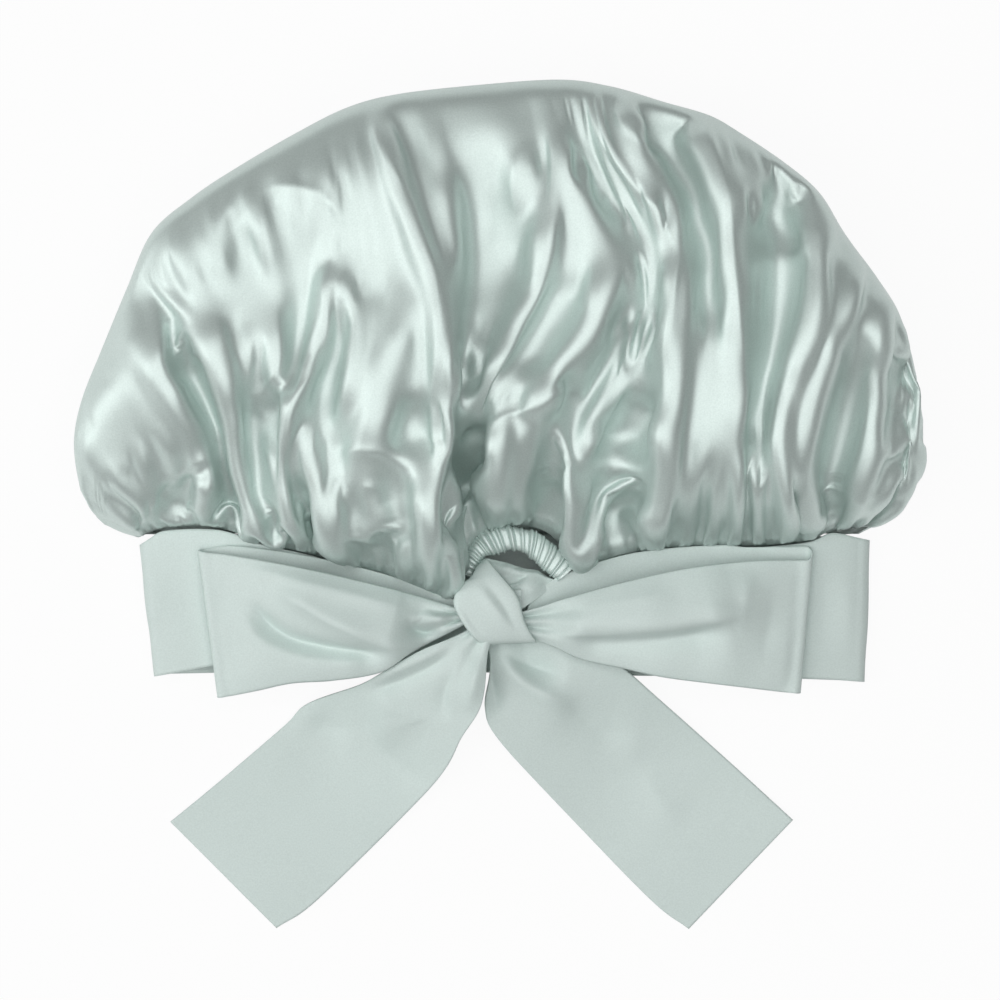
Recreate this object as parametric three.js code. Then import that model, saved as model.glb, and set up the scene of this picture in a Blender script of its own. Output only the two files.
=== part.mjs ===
// Satin hair bonnet with a wide tie band, lying on its back on a table with the bow uppermost.
// Millimetres. +Z is up from the table, +Y runs from the band to the top of the crown.
// The origin is under the middle of the crown's widest line, on the face that the bonnet lies on.
import * as THREE from "three";

// Cloth and fits
const CLOTH = 0.6; // one layer of satin
const CLEARANCE = 0.3; // gap between pieces that touch

// Crown: from above, half an ellipse over the widest line and a bulge under it
const CROWN_HALF_WIDTH = 171;
const CROWN_RISE = 145; // widest line to the top
const CROWN_BULGE = 38; // widest line down to the seam with the band
const CROWN_HEIGHT = 57; // table to the front between its folds
const CROWN_FULLNESS = 0.55; // how soon the front comes up from the rim; 1 would be an ellipse
const RIM_LIFT = 27; // table to the rim, where the front turns under to the back
const RIM_ROUNDING = 43; // width of the turn from the rim down to the table
const GATHERS = 24; // gathers round the crown, an even multiple of two
const GATHER_DEPTH = 4; // height of a gather beside the seam, each way
const BACK_FLATTENING = 0.6; // share of that height left at the back's seam, where the crown lies on the table

// Main folds of the crown's front: x and y along each crest from its top down, its height, and its width on each side
const MAIN_FOLDS = [
  { crest: [[-131, 57], [-136, 38], [-120, 5], [-117, -32]], height: 8, left: 24, right: 10 }, // lip of the left bulge
  { crest: [[-124, 46], [-111, 30], [-107, 8], [-103, -18], [-95, -40]], height: 8, left: 10, right: 12 },
  { crest: [[-64, 74], [-69, 45], [-81, 16], [-83, -6], [-83, -40]], height: 7, left: 12, right: 14 },
  { crest: [[-50, 125], [-43, 108], [-32, 85], [-25, 58], [-26, 25], [-30, -16]], height: 9, left: 28, right: 11 },
  { crest: [[19, 95], [17, 64], [5, 40], [-9, 17], [-23, -8]], height: 8, left: 14, right: 13 }, // leg of the peak
  { crest: [[15, 115], [29, 106], [46, 87], [69, 71]], height: 7, left: 22, right: 14 },
  { crest: [[59, 72], [40, 51], [23, 30], [0, 13]], height: 8, left: 13, right: 14 }, // slanting to the gathers
  { crest: [[68, 70], [66, 44], [64, 12], [61, -27], [61, -40]], height: 9, left: 12, right: 18 }, // pleat's left edge
  { crest: [[84, 118], [89, 97], [92, 64], [96, 32], [96, -8], [94, -40]], height: 10, left: 17, right: 13 },
  { crest: [[110, 90], [114, 61], [107, 16], [105, -32]], height: -4, left: 10, right: 10 }, // hollow beside the pleat
  { crest: [[124, 75], [127, 56], [122, 32], [118, 12], [117, -8], [119, -40]], height: 7, left: 13, right: 11 },
  { crest: [[144, 66], [149, 44], [147, 12], [140, -21], [135, -34]], height: 6, left: 12, right: 12 },
];

// Band round the head: one strip folded along its hem, pressed flat, its ends drawn into the knot
const BAND_HALF_WIDTH = 146;
const BAND_FULLNESS = 0.8; // how soon the front comes up from the folds; 1 would be an ellipse
const BAND_HEIGHT = 59; // also the width of the tails and of the bow's loops, the same strip
const BAND_FOLD_LIFT = 6; // table to the fold at each side
const BAND_FOLD_ROUNDING = 15; // width of the turn from that fold down to the table
const BAND_SEAM_LIFT = 20; // table to the front at the seam
const BAND_HEM_LIFT = 14; // table to the front at the hem
const BAND_END_HEIGHT = 11; // height of the strip where it enters the knot
const BAND_TAPER_START = 115; // distance from the centreline where the front starts to narrow
const SEAM_ALLOWANCE = 6; // depth of the crown's edge inside the band
const SEAM_END = 30; // distance from the centreline where the seam gives way to the elastic

// Elastic casing, an arch over the gap between the band's ends
const CASING_WIDTH = 9;
const CASING_DEPTH = 4.4;
const ARCH_RISE = 25; // ends of the seam up to the crown's edge over the casing
const RUCHES = 14;
const RUCHE_DEPTH = 0.5;
const ELASTIC_TUCK = 5; // length of elastic sewn into each end of the band

// Knot: a skewed wrap round a core of gathered strip, on a half knot
const KNOT_Y = -66;
const KNOT_LENGTH = 36;
const CORE_HEIGHT = 16;
const CORE_DEPTH = 10;
const WRAP_WIDTH = 24;
const WRAP_HEIGHT = 34;
const WRAP_DEPTH = 20;
const WRAP_SKEW = 5; // sideways shift of the wrap between its middle and its top
const WRAP_CREASE = 1.2; // depth of the crease round the wrap
const HALF_KNOT_LENGTH = 46;
const HALF_KNOT_WIDTH = 16;
const HALF_KNOT_DEPTH = 3;
const HALF_KNOT_ANGLE = 35; // degrees
const HALF_KNOT_OFFSET = new THREE.Vector2(5, 9); // from the knot's centre

// Bow: two loops and two tails of the same strip, two layers thick
const LOOP_REACH_LEFT = 118; // centreline to the fold at the loop's end
const LOOP_REACH_RIGHT = 123;
const LOOP_INSET = 6; // edge of the band to the edge of the loop lying on it
const LOOP_PUFF = 8; // between the loop's two runs
const LOOP_FOLD_DEPTH = 2; // pleats that run out from the knot
const TAIL_LENGTH_LEFT = 141;
const TAIL_LENGTH_RIGHT = 131;
const TAIL_SPLAY_LEFT = 48; // degrees from straight down
const TAIL_SPLAY_RIGHT = 44;
const TAIL_ROOT_WIDTH = 13;
const TAIL_SPREAD = 62; // length over which a tail opens to its full width
const TAIL_DROP = 84; // length over which a tail comes down to the table
const TAIL_FOLD_DEPTH = 2;

// How finely the shapes are divided
const SEAM_STEPS = 101; // odd, so that the origin is inside a face and not on an edge
const GAP_STEPS = 14;
const STRAND_STEPS = 3;
const PLEAT_STEPS = 8;

// Sizes that follow from those above
const STRIP = 2 * CLOTH;
const SLOT = CLOTH + 2 * CLEARANCE; // between the band's two faces, for the crown's edge
const BAND_THICKNESS = SLOT + 2 * CLOTH;
const SEAM_Y = -CROWN_BULGE;
const HEM_Y = SEAM_Y - BAND_HEIGHT;
const KNOT_SIDE = KNOT_LENGTH / 2 + CLEARANCE;
const KNOT_Z = BAND_SEAM_LIFT - BAND_THICKNESS / 2 + CORE_DEPTH / 2;
const SEAM_END_ANGLE = Math.acos(SEAM_END / BAND_HALF_WIDTH);

const { lerp, clamp, degToRad } = THREE.MathUtils;
const ease = (t) => THREE.MathUtils.smoothstep(t, 0, 1);
const point = (x, y, z) => new THREE.Vector3(x, y, z);

// A closed solid between two grids of points, in rows and columns.
// Seen from outside, outer's columns run to the left of its rows; closed joins the last column to the first.
function solidBetween(outer, inner, closed = false) {
  const positions = [];
  const triangle = (a, b, c) => {
    if (a.equals(b) || b.equals(c) || c.equals(a)) return;
    for (const corner of [a, b, c]) positions.push(corner.x, corner.y, corner.z);
  };
  const quad = (a, b, c, d) => {
    triangle(a, b, c);
    triangle(a, c, d);
  };
  const last = outer.length - 1;
  const columns = outer[0].length;
  const edge = columns - 1;
  const spans = closed ? columns : edge;
  for (let j = 0; j < spans; j++) {
    const k = (j + 1) % columns;
    for (let i = 0; i < last; i++) {
      quad(outer[i][j], outer[i][k], outer[i + 1][k], outer[i + 1][j]);
      quad(inner[i][j], inner[i + 1][j], inner[i + 1][k], inner[i][k]);
    }
    quad(outer[0][j], inner[0][j], inner[0][k], outer[0][k]);
    quad(outer[last][j], outer[last][k], inner[last][k], inner[last][j]);
  }
  for (let i = 0; i < last && !closed; i++) {
    quad(outer[i][0], outer[i + 1][0], inner[i + 1][0], inner[i][0]);
    quad(outer[i][edge], inner[i][edge], inner[i + 1][edge], outer[i + 1][edge]);
  }
  const geometry = new THREE.BufferGeometry();
  geometry.setAttribute("position", new THREE.Float32BufferAttribute(positions, 3));
  geometry.computeVertexNormals();
  return geometry;
}

// Unit normals of a grid of points. A row drawn in to one point takes poleNormal.
function gridNormals(grid, closed, poleNormal) {
  const last = grid.length - 1;
  const columns = grid[0].length;
  return grid.map((row, i) =>
    row.map((_, j) => {
      const before = closed ? (j + columns - 1) % columns : Math.max(j - 1, 0);
      const after = closed ? (j + 1) % columns : Math.min(j + 1, columns - 1);
      const across = row[after].clone().sub(row[before]);
      const along = grid[Math.min(i + 1, last)][j].clone().sub(grid[Math.max(i - 1, 0)][j]);
      const normal = across.cross(along);
      return normal.lengthSq() > 0 ? normal.normalize() : poleNormal.clone();
    }),
  );
}

// A sheet of cloth of one thickness, whose middle is the grid.
function cloth(grid, thickness, closed = false, poleNormal = point(0, 1, 0)) {
  const normals = gridNormals(grid, closed, poleNormal);
  const shifted = (offset) =>
    grid.map((row, i) => row.map((p, j) => p.clone().addScaledVector(normals[i][j], offset)));
  return solidBetween(shifted(thickness / 2), shifted(-thickness / 2), closed);
}

// Height of a flattened loop of cloth at an angle round it: 0 at the right fold, a quarter turn at the front.
// The back lies at base, apart from a rounded turn up to each fold.
function loopLift(angle, { base, fold, crest, fullness, rounding, halfWidth }) {
  const sine = Math.sin(angle);
  if (sine >= 0) return fold + (crest - fold) * sine ** fullness;
  const flat = 1 - rounding / halfWidth;
  const turn = Math.max(0, (Math.abs(Math.cos(angle)) - flat) / (1 - flat));
  return base + (fold - base) * (1 - Math.sqrt(1 - turn * turn));
}

// Share of the way from the band's full height to its gathered end, by distance from the centreline
const bandTaper = (x) => ease((BAND_TAPER_START - Math.abs(x)) / (BAND_TAPER_START - KNOT_SIDE));
const frontSeamY = (x) => lerp(SEAM_Y, KNOT_Y + BAND_END_HEIGHT / 2, bandTaper(x));
const frontHemY = (x) => lerp(HEM_Y, KNOT_Y - BAND_END_HEIGHT / 2, bandTaper(x));
const bandAngle = (x) => Math.acos(x / BAND_HALF_WIDTH);

// Middle of the band's slot at an angle round the band, a distance down from the seam
function bandMiddle(angle, down) {
  const x = BAND_HALF_WIDTH * Math.cos(angle);
  const front = Math.sin(angle) >= 0;
  const seam = front ? frontSeamY(x) : SEAM_Y;
  const hem = front ? frontHemY(x) : HEM_Y;
  const hemLift = lerp(BAND_HEM_LIFT, BAND_SEAM_LIFT, bandTaper(x));
  const share = down / (seam - hem);
  const z = loopLift(angle, {
    base: BAND_THICKNESS / 2,
    fold: BAND_FOLD_LIFT,
    crest: lerp(BAND_SEAM_LIFT, hemLift, share),
    fullness: BAND_FULLNESS,
    rounding: BAND_FOLD_ROUNDING,
    halfWidth: BAND_HALF_WIDTH,
  });
  return point(x, seam - down, z);
}

const bandHeightAt = (angle) => {
  const x = BAND_HALF_WIDTH * Math.cos(angle);
  return Math.sin(angle) >= 0 ? frontSeamY(x) - frontHemY(x) : BAND_HEIGHT;
};
const bandTopZ = (x) => bandMiddle(bandAngle(x), 0).z + BAND_THICKNESS / 2;

// Angles of the seam, from its left end by the knot round the back to its right end
const seamAngles = Array.from({ length: SEAM_STEPS + 1 }, (_, i) =>
  lerp(Math.PI - SEAM_END_ANGLE, 2 * Math.PI + SEAM_END_ANGLE, i / SEAM_STEPS),
);

// The arch that the elastic draws the crown's edge into, and a parallel curve inside it
const ARCH_FOOT_Y = frontSeamY(SEAM_END);
const ARCH_LIFT = bandMiddle(SEAM_END_ANGLE, 0).z;
const archPoint = (turn, inset) =>
  point((SEAM_END - inset) * Math.cos(turn), ARCH_FOOT_Y + (ARCH_RISE - inset) * Math.sin(turn), ARCH_LIFT);
const CASING_INSET = CASING_WIDTH / 2 + CLOTH + 2 * CLEARANCE;

// Height that the main folds add to the crown's front at a place; where two meet, the higher one leads
function foldLift(x, y) {
  const heights = MAIN_FOLDS.map(({ crest, height, left, right }) => {
    let gap = Infinity;
    let side = 0; // -1 square to the crest on its left, 1 on its right
    for (let i = 0; i + 1 < crest.length; i++) {
      const from = new THREE.Vector2(...crest[i]);
      const along = new THREE.Vector2(...crest[i + 1]).sub(from);
      const offset = new THREE.Vector2(x, y).sub(from);
      const share = clamp(offset.dot(along) / along.lengthSq(), 0, 1);
      const distance = offset.distanceTo(along.clone().multiplyScalar(share));
      if (distance < gap) {
        gap = distance;
        side = along.cross(offset) / (along.length() * Math.max(gap, CLEARANCE));
      }
    }
    const width = lerp(left, right, (1 + side) / 2);
    return height * Math.exp(-((gap / width) ** 2));
  });
  const crests = heights.filter((height) => height > 0);
  const hollows = heights.filter((height) => height < 0);
  return Math.cbrt(crests.reduce((sum, h) => sum + h ** 3, 0)) + hollows.reduce((sum, h) => sum + h, 0);
}

// Crown: rings of cloth from the edge tucked into the band to the middle of the cut circle, at the top
function crownGeometry() {
  const edges = [
    ...seamAngles.map((angle) => ({
      angle,
      seam: bandMiddle(angle, 0),
      tucked: bandMiddle(angle, SEAM_ALLOWANCE),
    })),
    ...Array.from({ length: GAP_STEPS - 1 }, (_, i) => {
      const turn = (Math.PI * (i + 1)) / GAP_STEPS;
      const seam = archPoint(turn, 0);
      return { angle: bandAngle(seam.x), seam, tucked: archPoint(turn, CLOTH) };
    }),
  ];
  // Two waves together, so that deep and shallow gathers take turns
  const gather = (angle) => 0.7 * Math.cos(GATHERS * angle) + 0.3 * Math.cos((GATHERS / 2) * angle);
  const ring = ({ width, y, rim, crest, rounding, gathered, follow }) =>
    edges.map(({ angle, seam }) => {
      const front = Math.sin(angle) >= 0;
      const lift = loopLift(angle, {
        base: CLOTH / 2,
        fold: rim,
        crest,
        fullness: CROWN_FULLNESS,
        rounding,
        halfWidth: width,
      });
      const wave = front ? gather(angle) : (BACK_FLATTENING * follow ** 2 * (gather(angle) - 1)) / 2;
      const bump = GATHER_DEPTH * gathered * wave;
      const across = (width + bump) * Math.cos(angle);
      const up = front ? y + follow * (seam.y - SEAM_Y) : y;
      const inside = Math.max(Math.sin(angle), 0) ** 0.5; // 0 at the rim, so that the outline stays even
      return point(across, up, lift + bump * Math.sin(angle) + (1 - follow) * inside * foldLift(across, up));
    });
  const bulgeRing = (degrees, gathered) => {
    const out = Math.sin(degToRad(degrees));
    return ring({
      width: lerp(BAND_HALF_WIDTH, CROWN_HALF_WIDTH, out),
      y: -CROWN_BULGE * Math.cos(degToRad(degrees)),
      rim: lerp(BAND_FOLD_LIFT, RIM_LIFT, out),
      crest: lerp(BAND_SEAM_LIFT, CROWN_HEIGHT, out),
      rounding: lerp(BAND_FOLD_ROUNDING, RIM_ROUNDING, out),
      gathered,
      follow: 1 - out,
    });
  };
  const domeRing = (degrees) => {
    const inward = Math.cos(degToRad(degrees));
    const DOME_FULLNESS = 0.6; // under 1, so the top stays high until close to the rim
    return ring({
      width: CROWN_HALF_WIDTH * inward,
      y: CROWN_RISE * Math.sin(degToRad(degrees)),
      rim: RIM_LIFT,
      crest: lerp(RIM_LIFT, CROWN_HEIGHT, inward ** DOME_FULLNESS),
      rounding: RIM_ROUNDING * inward,
      gathered: 0,
      follow: 0,
    });
  };
  const top = point(0, CROWN_RISE, RIM_LIFT);
  const rows = [
    edges.map(({ tucked }) => tucked),
    edges.map(({ seam }) => seam),
    bulgeRing(20, 1),
    bulgeRing(40, 0.8),
    bulgeRing(60, 0.5),
    bulgeRing(78, 0.2),
    ...[4, 13, 22, 31, 40, 49, 58, 69, 80].map(domeRing),
    edges.map(() => top),
  ];
  return cloth(rows, CLOTH, true);
}

// Head band: the strip's outer face, the fold along its hem and its inner face
function headBandGeometry() {
  const strand = (from, to) =>
    Array.from({ length: STRAND_STEPS }, (_, i) => bandAngle(lerp(from, to, i / STRAND_STEPS)));
  const angles = [
    ...strand(-KNOT_SIDE, -SEAM_END),
    ...seamAngles,
    ...strand(KNOT_SIDE, SEAM_END).reverse(),
  ];
  const edgeGap = CLOTH + 2 * CLEARANCE; // keeps the strip's raw edges off the crown's turned-up cloth
  const tops = angles.map((angle) => bandMiddle(angle, edgeGap));
  const hems = angles.map((angle) => bandMiddle(angle, bandHeightAt(angle)));
  const normals = gridNormals([tops, hems], false);
  const face = (middles, i, side) =>
    middles.map((p, j) => p.clone().addScaledVector(normals[i][j], (side * (SLOT + CLOTH)) / 2));
  const fold = hems.map((p, j) => {
    const down = p.clone().sub(tops[j]).normalize();
    return p.clone().addScaledVector(down, (SLOT + CLOTH) / 2);
  });
  return cloth([face(tops, 0, 1), face(hems, 1, 1), fold, face(hems, 1, -1), face(tops, 0, -1)], CLOTH);
}

// Frame of the casing along its arch: the point, and the direction away from the arch's middle
function casingFrame(turn) {
  const centre = archPoint(turn, CASING_INSET);
  const out = point(
    Math.cos(turn) / (SEAM_END - CASING_INSET),
    Math.sin(turn) / (ARCH_RISE - CASING_INSET),
    0,
  ).normalize();
  return { centre, out };
}

// Elastic casing: the crown's hem as a ruched tunnel, open at both ends
function casingGeometry() {
  const AROUND = 10;
  const stations = 2 * RUCHES;
  const tunnel = (inset) =>
    Array.from({ length: stations + 1 }, (_, i) => {
      const { centre, out } = casingFrame((Math.PI * i) / stations);
      const drawnIn = i % 2 ? RUCHE_DEPTH : 0;
      return Array.from({ length: AROUND }, (_, j) => {
        const around = (2 * Math.PI * j) / AROUND;
        return centre
          .clone()
          .addScaledVector(out, (CASING_WIDTH / 2 - drawnIn - inset) * Math.cos(around))
          .add(point(0, 0, (CASING_DEPTH / 2 - drawnIn - inset) * Math.sin(around)));
      });
    });
  return solidBetween(tunnel(0).reverse(), tunnel(CLOTH).reverse(), true);
}

// Flat elastic through the casing, its ends inside the band's two ends
function elasticGeometry() {
  const STEPS = 16;
  const halfWidth = CASING_WIDTH / 2 - CLOTH - RUCHE_DEPTH - CLEARANCE;
  const inBand = (side, down) => {
    const { centre } = casingFrame(0);
    const reach = (offset) => bandMiddle(bandAngle(side * (centre.x + offset)), down);
    return [reach(-halfWidth), reach(halfWidth)];
  };
  const inCasing = Array.from({ length: STEPS + 1 }, (_, i) => {
    const { centre, out } = casingFrame((Math.PI * i) / STEPS);
    return [-halfWidth, halfWidth].map((offset) => centre.clone().addScaledVector(out, offset));
  });
  return cloth([inBand(1, ELASTIC_TUCK), ...inCasing, inBand(-1, ELASTIC_TUCK)], CLOTH);
}

// Knot's wrap: a barrel round the core, skewed, with a crease where its two folds meet
function wrapGeometry() {
  const AROUND = 20;
  const STEPS = 8;
  const barrel = (height, depth, swell) =>
    Array.from({ length: STEPS + 1 }, (_, i) => {
      const along = (2 * i) / STEPS - 1;
      const shrink = swell * (1 - Math.sqrt(1 - (0.9 * along) ** 2));
      const crease = swell && i === STEPS / 2 ? WRAP_CREASE : 0;
      return Array.from({ length: AROUND }, (_, j) => {
        const turn = (2 * Math.PI * j) / AROUND;
        const y = (height / 2 - shrink - crease) * Math.cos(turn);
        const z = (depth / 2 - shrink - crease) * Math.sin(turn);
        return point((along * WRAP_WIDTH) / 2 - (WRAP_SKEW * y) / (WRAP_HEIGHT / 2), KNOT_Y + y, KNOT_Z + z);
      });
    });
  const boreHeight = CORE_HEIGHT + 2 * CLEARANCE;
  const boreDepth = CORE_DEPTH + 2 * CLEARANCE;
  const WRAP_SWELL = Math.min(WRAP_DEPTH - boreDepth, WRAP_HEIGHT - boreHeight) / 3;
  return solidBetween(barrel(WRAP_HEIGHT, WRAP_DEPTH, WRAP_SWELL), barrel(boreHeight, boreDepth, 0), true);
}

// Core of the knot: the gathered strips that the wrap holds
function coreGeometry() {
  const section = new THREE.Shape().absellipse(0, 0, CORE_DEPTH / 2, CORE_HEIGHT / 2, 0, 2 * Math.PI);
  const core = new THREE.ExtrudeGeometry(section, { depth: KNOT_LENGTH, bevelEnabled: false, curveSegments: 10 });
  return core.translate(0, 0, -KNOT_LENGTH / 2).rotateY(Math.PI / 2).translate(0, KNOT_Y, KNOT_Z);
}

// Half knot: the first crossing of the two ends, under the wrap
function halfKnotGeometry() {
  const BEVEL = HALF_KNOT_DEPTH / 4;
  const radius = HALF_KNOT_WIDTH / 2 - BEVEL;
  const straight = HALF_KNOT_LENGTH / 2 - HALF_KNOT_WIDTH / 2;
  const outline = new THREE.Shape()
    .absarc(straight, 0, radius, -Math.PI / 2, Math.PI / 2)
    .absarc(-straight, 0, radius, Math.PI / 2, (3 * Math.PI) / 2);
  const strip = new THREE.ExtrudeGeometry(outline, {
    depth: HALF_KNOT_DEPTH - 2 * BEVEL,
    bevelThickness: BEVEL,
    bevelSize: BEVEL,
    bevelSegments: 2,
    curveSegments: 8,
  });
  const top = KNOT_Z - WRAP_DEPTH / 2 - CLEARANCE;
  return strip
    .rotateZ(degToRad(HALF_KNOT_ANGLE))
    .translate(HALF_KNOT_OFFSET.x, KNOT_Y + HALF_KNOT_OFFSET.y, top - HALF_KNOT_DEPTH + BEVEL);
}

// Pleats across a strip, from one edge at -1 to the other at 1
const pleat = (across) => Math.cos(2 * Math.PI * across);
const acrossSteps = Array.from({ length: PLEAT_STEPS + 1 }, (_, j) => (2 * j) / PLEAT_STEPS - 1);

// Loop of the bow: the strip runs out over the band, folds back and returns to the knot
function loopGeometry(side, length) {
  const OUT_STEPS = 9;
  const TURN_STEPS = 4;
  const foldRadius = LOOP_PUFF / 2;
  const reach = length - foldRadius - STRIP / 2;
  const rootGap = STRIP + 2 * CLEARANCE;
  const xAt = (share) => lerp(KNOT_SIDE, reach, share);
  const lowerZ = (share) => bandTopZ(xAt(share)) + 2 * CLEARANCE + STRIP / 2;
  const gapAt = (share) => lerp(rootGap, LOOP_PUFF, ease(2 * share));
  const row = (share, x, z, pleats) => {
    const top = frontSeamY(xAt(share)) - LOOP_INSET * ease(2 * share);
    const foot = lerp(KNOT_Y - BAND_END_HEIGHT / 2, frontSeamY(reach) - LOOP_INSET - BAND_HEIGHT, ease(share / 0.8));
    return acrossSteps.map((across) =>
      point(side * x, lerp(foot, top, (across + 1) / 2), z + pleats * pleat(across)),
    );
  };
  const pleatsAt = (share) => (LOOP_FOLD_DEPTH * Math.sin(Math.PI * share) * gapAt(share)) / LOOP_PUFF;
  const shares = Array.from({ length: OUT_STEPS + 1 }, (_, i) => i / OUT_STEPS);
  const upper = shares.map((s) => row(s, xAt(s), lowerZ(s) + gapAt(s), pleatsAt(s)));
  const turned = Array.from({ length: TURN_STEPS - 1 }, (_, i) => {
    const turn = (Math.PI * (i + 1)) / TURN_STEPS;
    const z = lowerZ(1) + foldRadius * (1 + Math.cos(turn));
    return row(1, reach + foldRadius * Math.sin(turn), z, 0);
  });
  const lower = shares.map((s) => row(s, xAt(s), lowerZ(s), 0)).reverse();
  return cloth([...upper, ...turned, ...lower], STRIP);
}

// Tail of the bow: from under the knot down to the table, opening out to the strip's full width
function tailGeometry(side, length, splay) {
  const STEPS = 14;
  const along = new THREE.Vector2(side * Math.sin(degToRad(splay)), -Math.cos(degToRad(splay)));
  const square = new THREE.Vector2(-along.y, along.x).multiplyScalar(side);
  const root = tailRoot(side);
  const rows = Array.from({ length: STEPS + 1 }, (_, i) => {
    const reach = (length * i) / STEPS;
    const open = ease(reach / TAIL_SPREAD);
    const sideways = new THREE.Vector2(side, 0).lerp(square, open).normalize();
    const halfWidth = lerp(TAIL_ROOT_WIDTH, BAND_HEIGHT, open) / 2;
    const z = lerp(root.z, STRIP / 2, ease(reach / TAIL_DROP));
    const pleats = TAIL_FOLD_DEPTH * Math.sin(Math.PI * clamp(reach / TAIL_DROP, 0, 1));
    return acrossSteps.map((across) => {
      const p = new THREE.Vector2(root.x, root.y)
        .addScaledVector(along, reach)
        .addScaledVector(sideways, across * halfWidth);
      return point(p.x, p.y, z + pleats * (1 + pleat(across)) * 0.5);
    });
  });
  return cloth(rows, STRIP);
}

// Where a tail comes out under the wrap
function tailRoot(side) {
  const x = side * (TAIL_ROOT_WIDTH / 2 + CLEARANCE);
  return point(x, KNOT_Y - WRAP_HEIGHT / 2 - CLEARANCE, KNOT_Z);
}

const satin = new THREE.MeshStandardMaterial({ color: 0xb9ccc3, roughness: 0.3, metalness: 0 });
const dullSatin = new THREE.MeshStandardMaterial({ color: 0xc6d6cf, roughness: 0.65, metalness: 0 });
const elasticWeb = new THREE.MeshStandardMaterial({ color: 0xe8ebe8, roughness: 0.9, metalness: 0 });

const bonnet = new THREE.Group();

function add(name, geometry, material) {
  const mesh = new THREE.Mesh(geometry, material);
  mesh.name = name;
  bonnet.add(mesh);
}

add("crown", crownGeometry(), satin);
add("head_band", headBandGeometry(), dullSatin);
add("elastic_casing", casingGeometry(), satin);
add("elastic_tape", elasticGeometry(), elasticWeb);
add("knot_wrap", wrapGeometry(), dullSatin);
add("knot_core", coreGeometry(), dullSatin);
add("half_knot", halfKnotGeometry(), dullSatin);
add("left_loop", loopGeometry(-1, LOOP_REACH_LEFT), dullSatin);
add("right_loop", loopGeometry(1, LOOP_REACH_RIGHT), dullSatin);
add("left_tail", tailGeometry(-1, TAIL_LENGTH_LEFT, TAIL_SPLAY_LEFT), dullSatin);
add("right_tail", tailGeometry(1, TAIL_LENGTH_RIGHT, TAIL_SPLAY_RIGHT), dullSatin);

export default bonnet;
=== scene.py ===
"""Satin hair bonnet with a tie band, laid flat on its back, bow uppermost, seen from straight above.

Shapes are worked out in millimetres in the part's frame: +Z up from the table, +Y towards the crown's top.
Places read off the photograph are written in its pixels and turned into millimetres by place().
"""
import math

import bpy
import numpy as np
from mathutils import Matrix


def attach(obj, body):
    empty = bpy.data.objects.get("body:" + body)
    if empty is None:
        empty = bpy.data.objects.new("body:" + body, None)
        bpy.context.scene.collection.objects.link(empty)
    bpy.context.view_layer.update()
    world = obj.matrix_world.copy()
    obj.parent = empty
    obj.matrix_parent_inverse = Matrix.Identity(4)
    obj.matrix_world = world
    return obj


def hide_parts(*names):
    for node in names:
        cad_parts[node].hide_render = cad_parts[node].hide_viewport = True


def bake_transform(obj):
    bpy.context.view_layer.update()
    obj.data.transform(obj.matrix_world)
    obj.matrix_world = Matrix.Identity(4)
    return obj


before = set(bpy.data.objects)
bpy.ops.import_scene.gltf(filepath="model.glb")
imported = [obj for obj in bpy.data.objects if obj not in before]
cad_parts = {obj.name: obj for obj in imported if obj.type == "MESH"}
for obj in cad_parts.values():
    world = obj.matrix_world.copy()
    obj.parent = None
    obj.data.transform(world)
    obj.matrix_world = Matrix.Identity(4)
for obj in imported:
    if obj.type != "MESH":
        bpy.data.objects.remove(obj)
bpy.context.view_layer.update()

# Photograph
MM_PER_PX = 0.405
ORIGIN_PX = (500.0, 440.0)
PHOTO_PX = 1000.0

# Camera: straight above, far enough off for nearly parallel lines
CAMERA_HEIGHT = 2000.0
CAMERA_SENSOR = 36.0
FOCUS_HEIGHT = 15.0  # the height at which the photograph's scale holds

# Sizes shared with the solids
BAND_HALF_WIDTH = 146.0
BAND_HEIGHT = 59.0
BAND_FOLD_LIFT = 6.0
BAND_SEAM_LIFT = 20.0
BAND_HEM_LIFT = 14.0
SEAM_Y = -38.0
KNOT_Y = -66.0
KNOT_Z = 23.8

# Cloth
SATIN_THICKNESS = 0.5
STRIP_THICKNESS = 1.0
BUNDLE_THICKNESS = 0.6
CASING_THICKNESS = 0.4
TAPE_THICKNESS = 0.7
TABLE_GAP = 0.1  # under the cloth that lies on the table
METRES = 0.001  # in a millimetre


# Curves and grids


def place(points):
    """Photograph pixels to millimetres in the frame, as an array of x, y."""
    p = np.asarray(points, float)
    x = (p[..., 0] - ORIGIN_PX[0]) * MM_PER_PX
    y = (ORIGIN_PX[1] - p[..., 1]) * MM_PER_PX
    return np.stack([x, y], axis=-1)


def smooth(t):
    """Rises from 0 to 1, level at both ends."""
    t = np.clip(t, 0.0, 1.0)
    return t * t * (3.0 - 2.0 * t)


def rounded(t):
    """Rises from 0 to 1 as a quarter of a circle does."""
    return np.sqrt(1.0 - (1.0 - np.clip(t, 0.0, 1.0)) ** 2)


def mix(a, b, t):
    return a + (b - a) * t


def even(count):
    """Even steps from 0 to 1."""
    return np.linspace(0.0, 1.0, count)


def sums(steps):
    """Running sums of steps, from 0."""
    return np.concatenate([[0.0], np.cumsum(steps)])


def length_along(curve):
    return sums(np.linalg.norm(np.diff(curve, axis=0), axis=1))


def through(a, b, c, d, t):
    """The point at share t from b to c on a smooth curve through a, b, c and d."""
    return 0.5 * (2 * b + (c - a) * t + (2 * a - 5 * b + 4 * c - d) * t**2 + (3 * b - a - 3 * c + d) * t**3)


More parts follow.
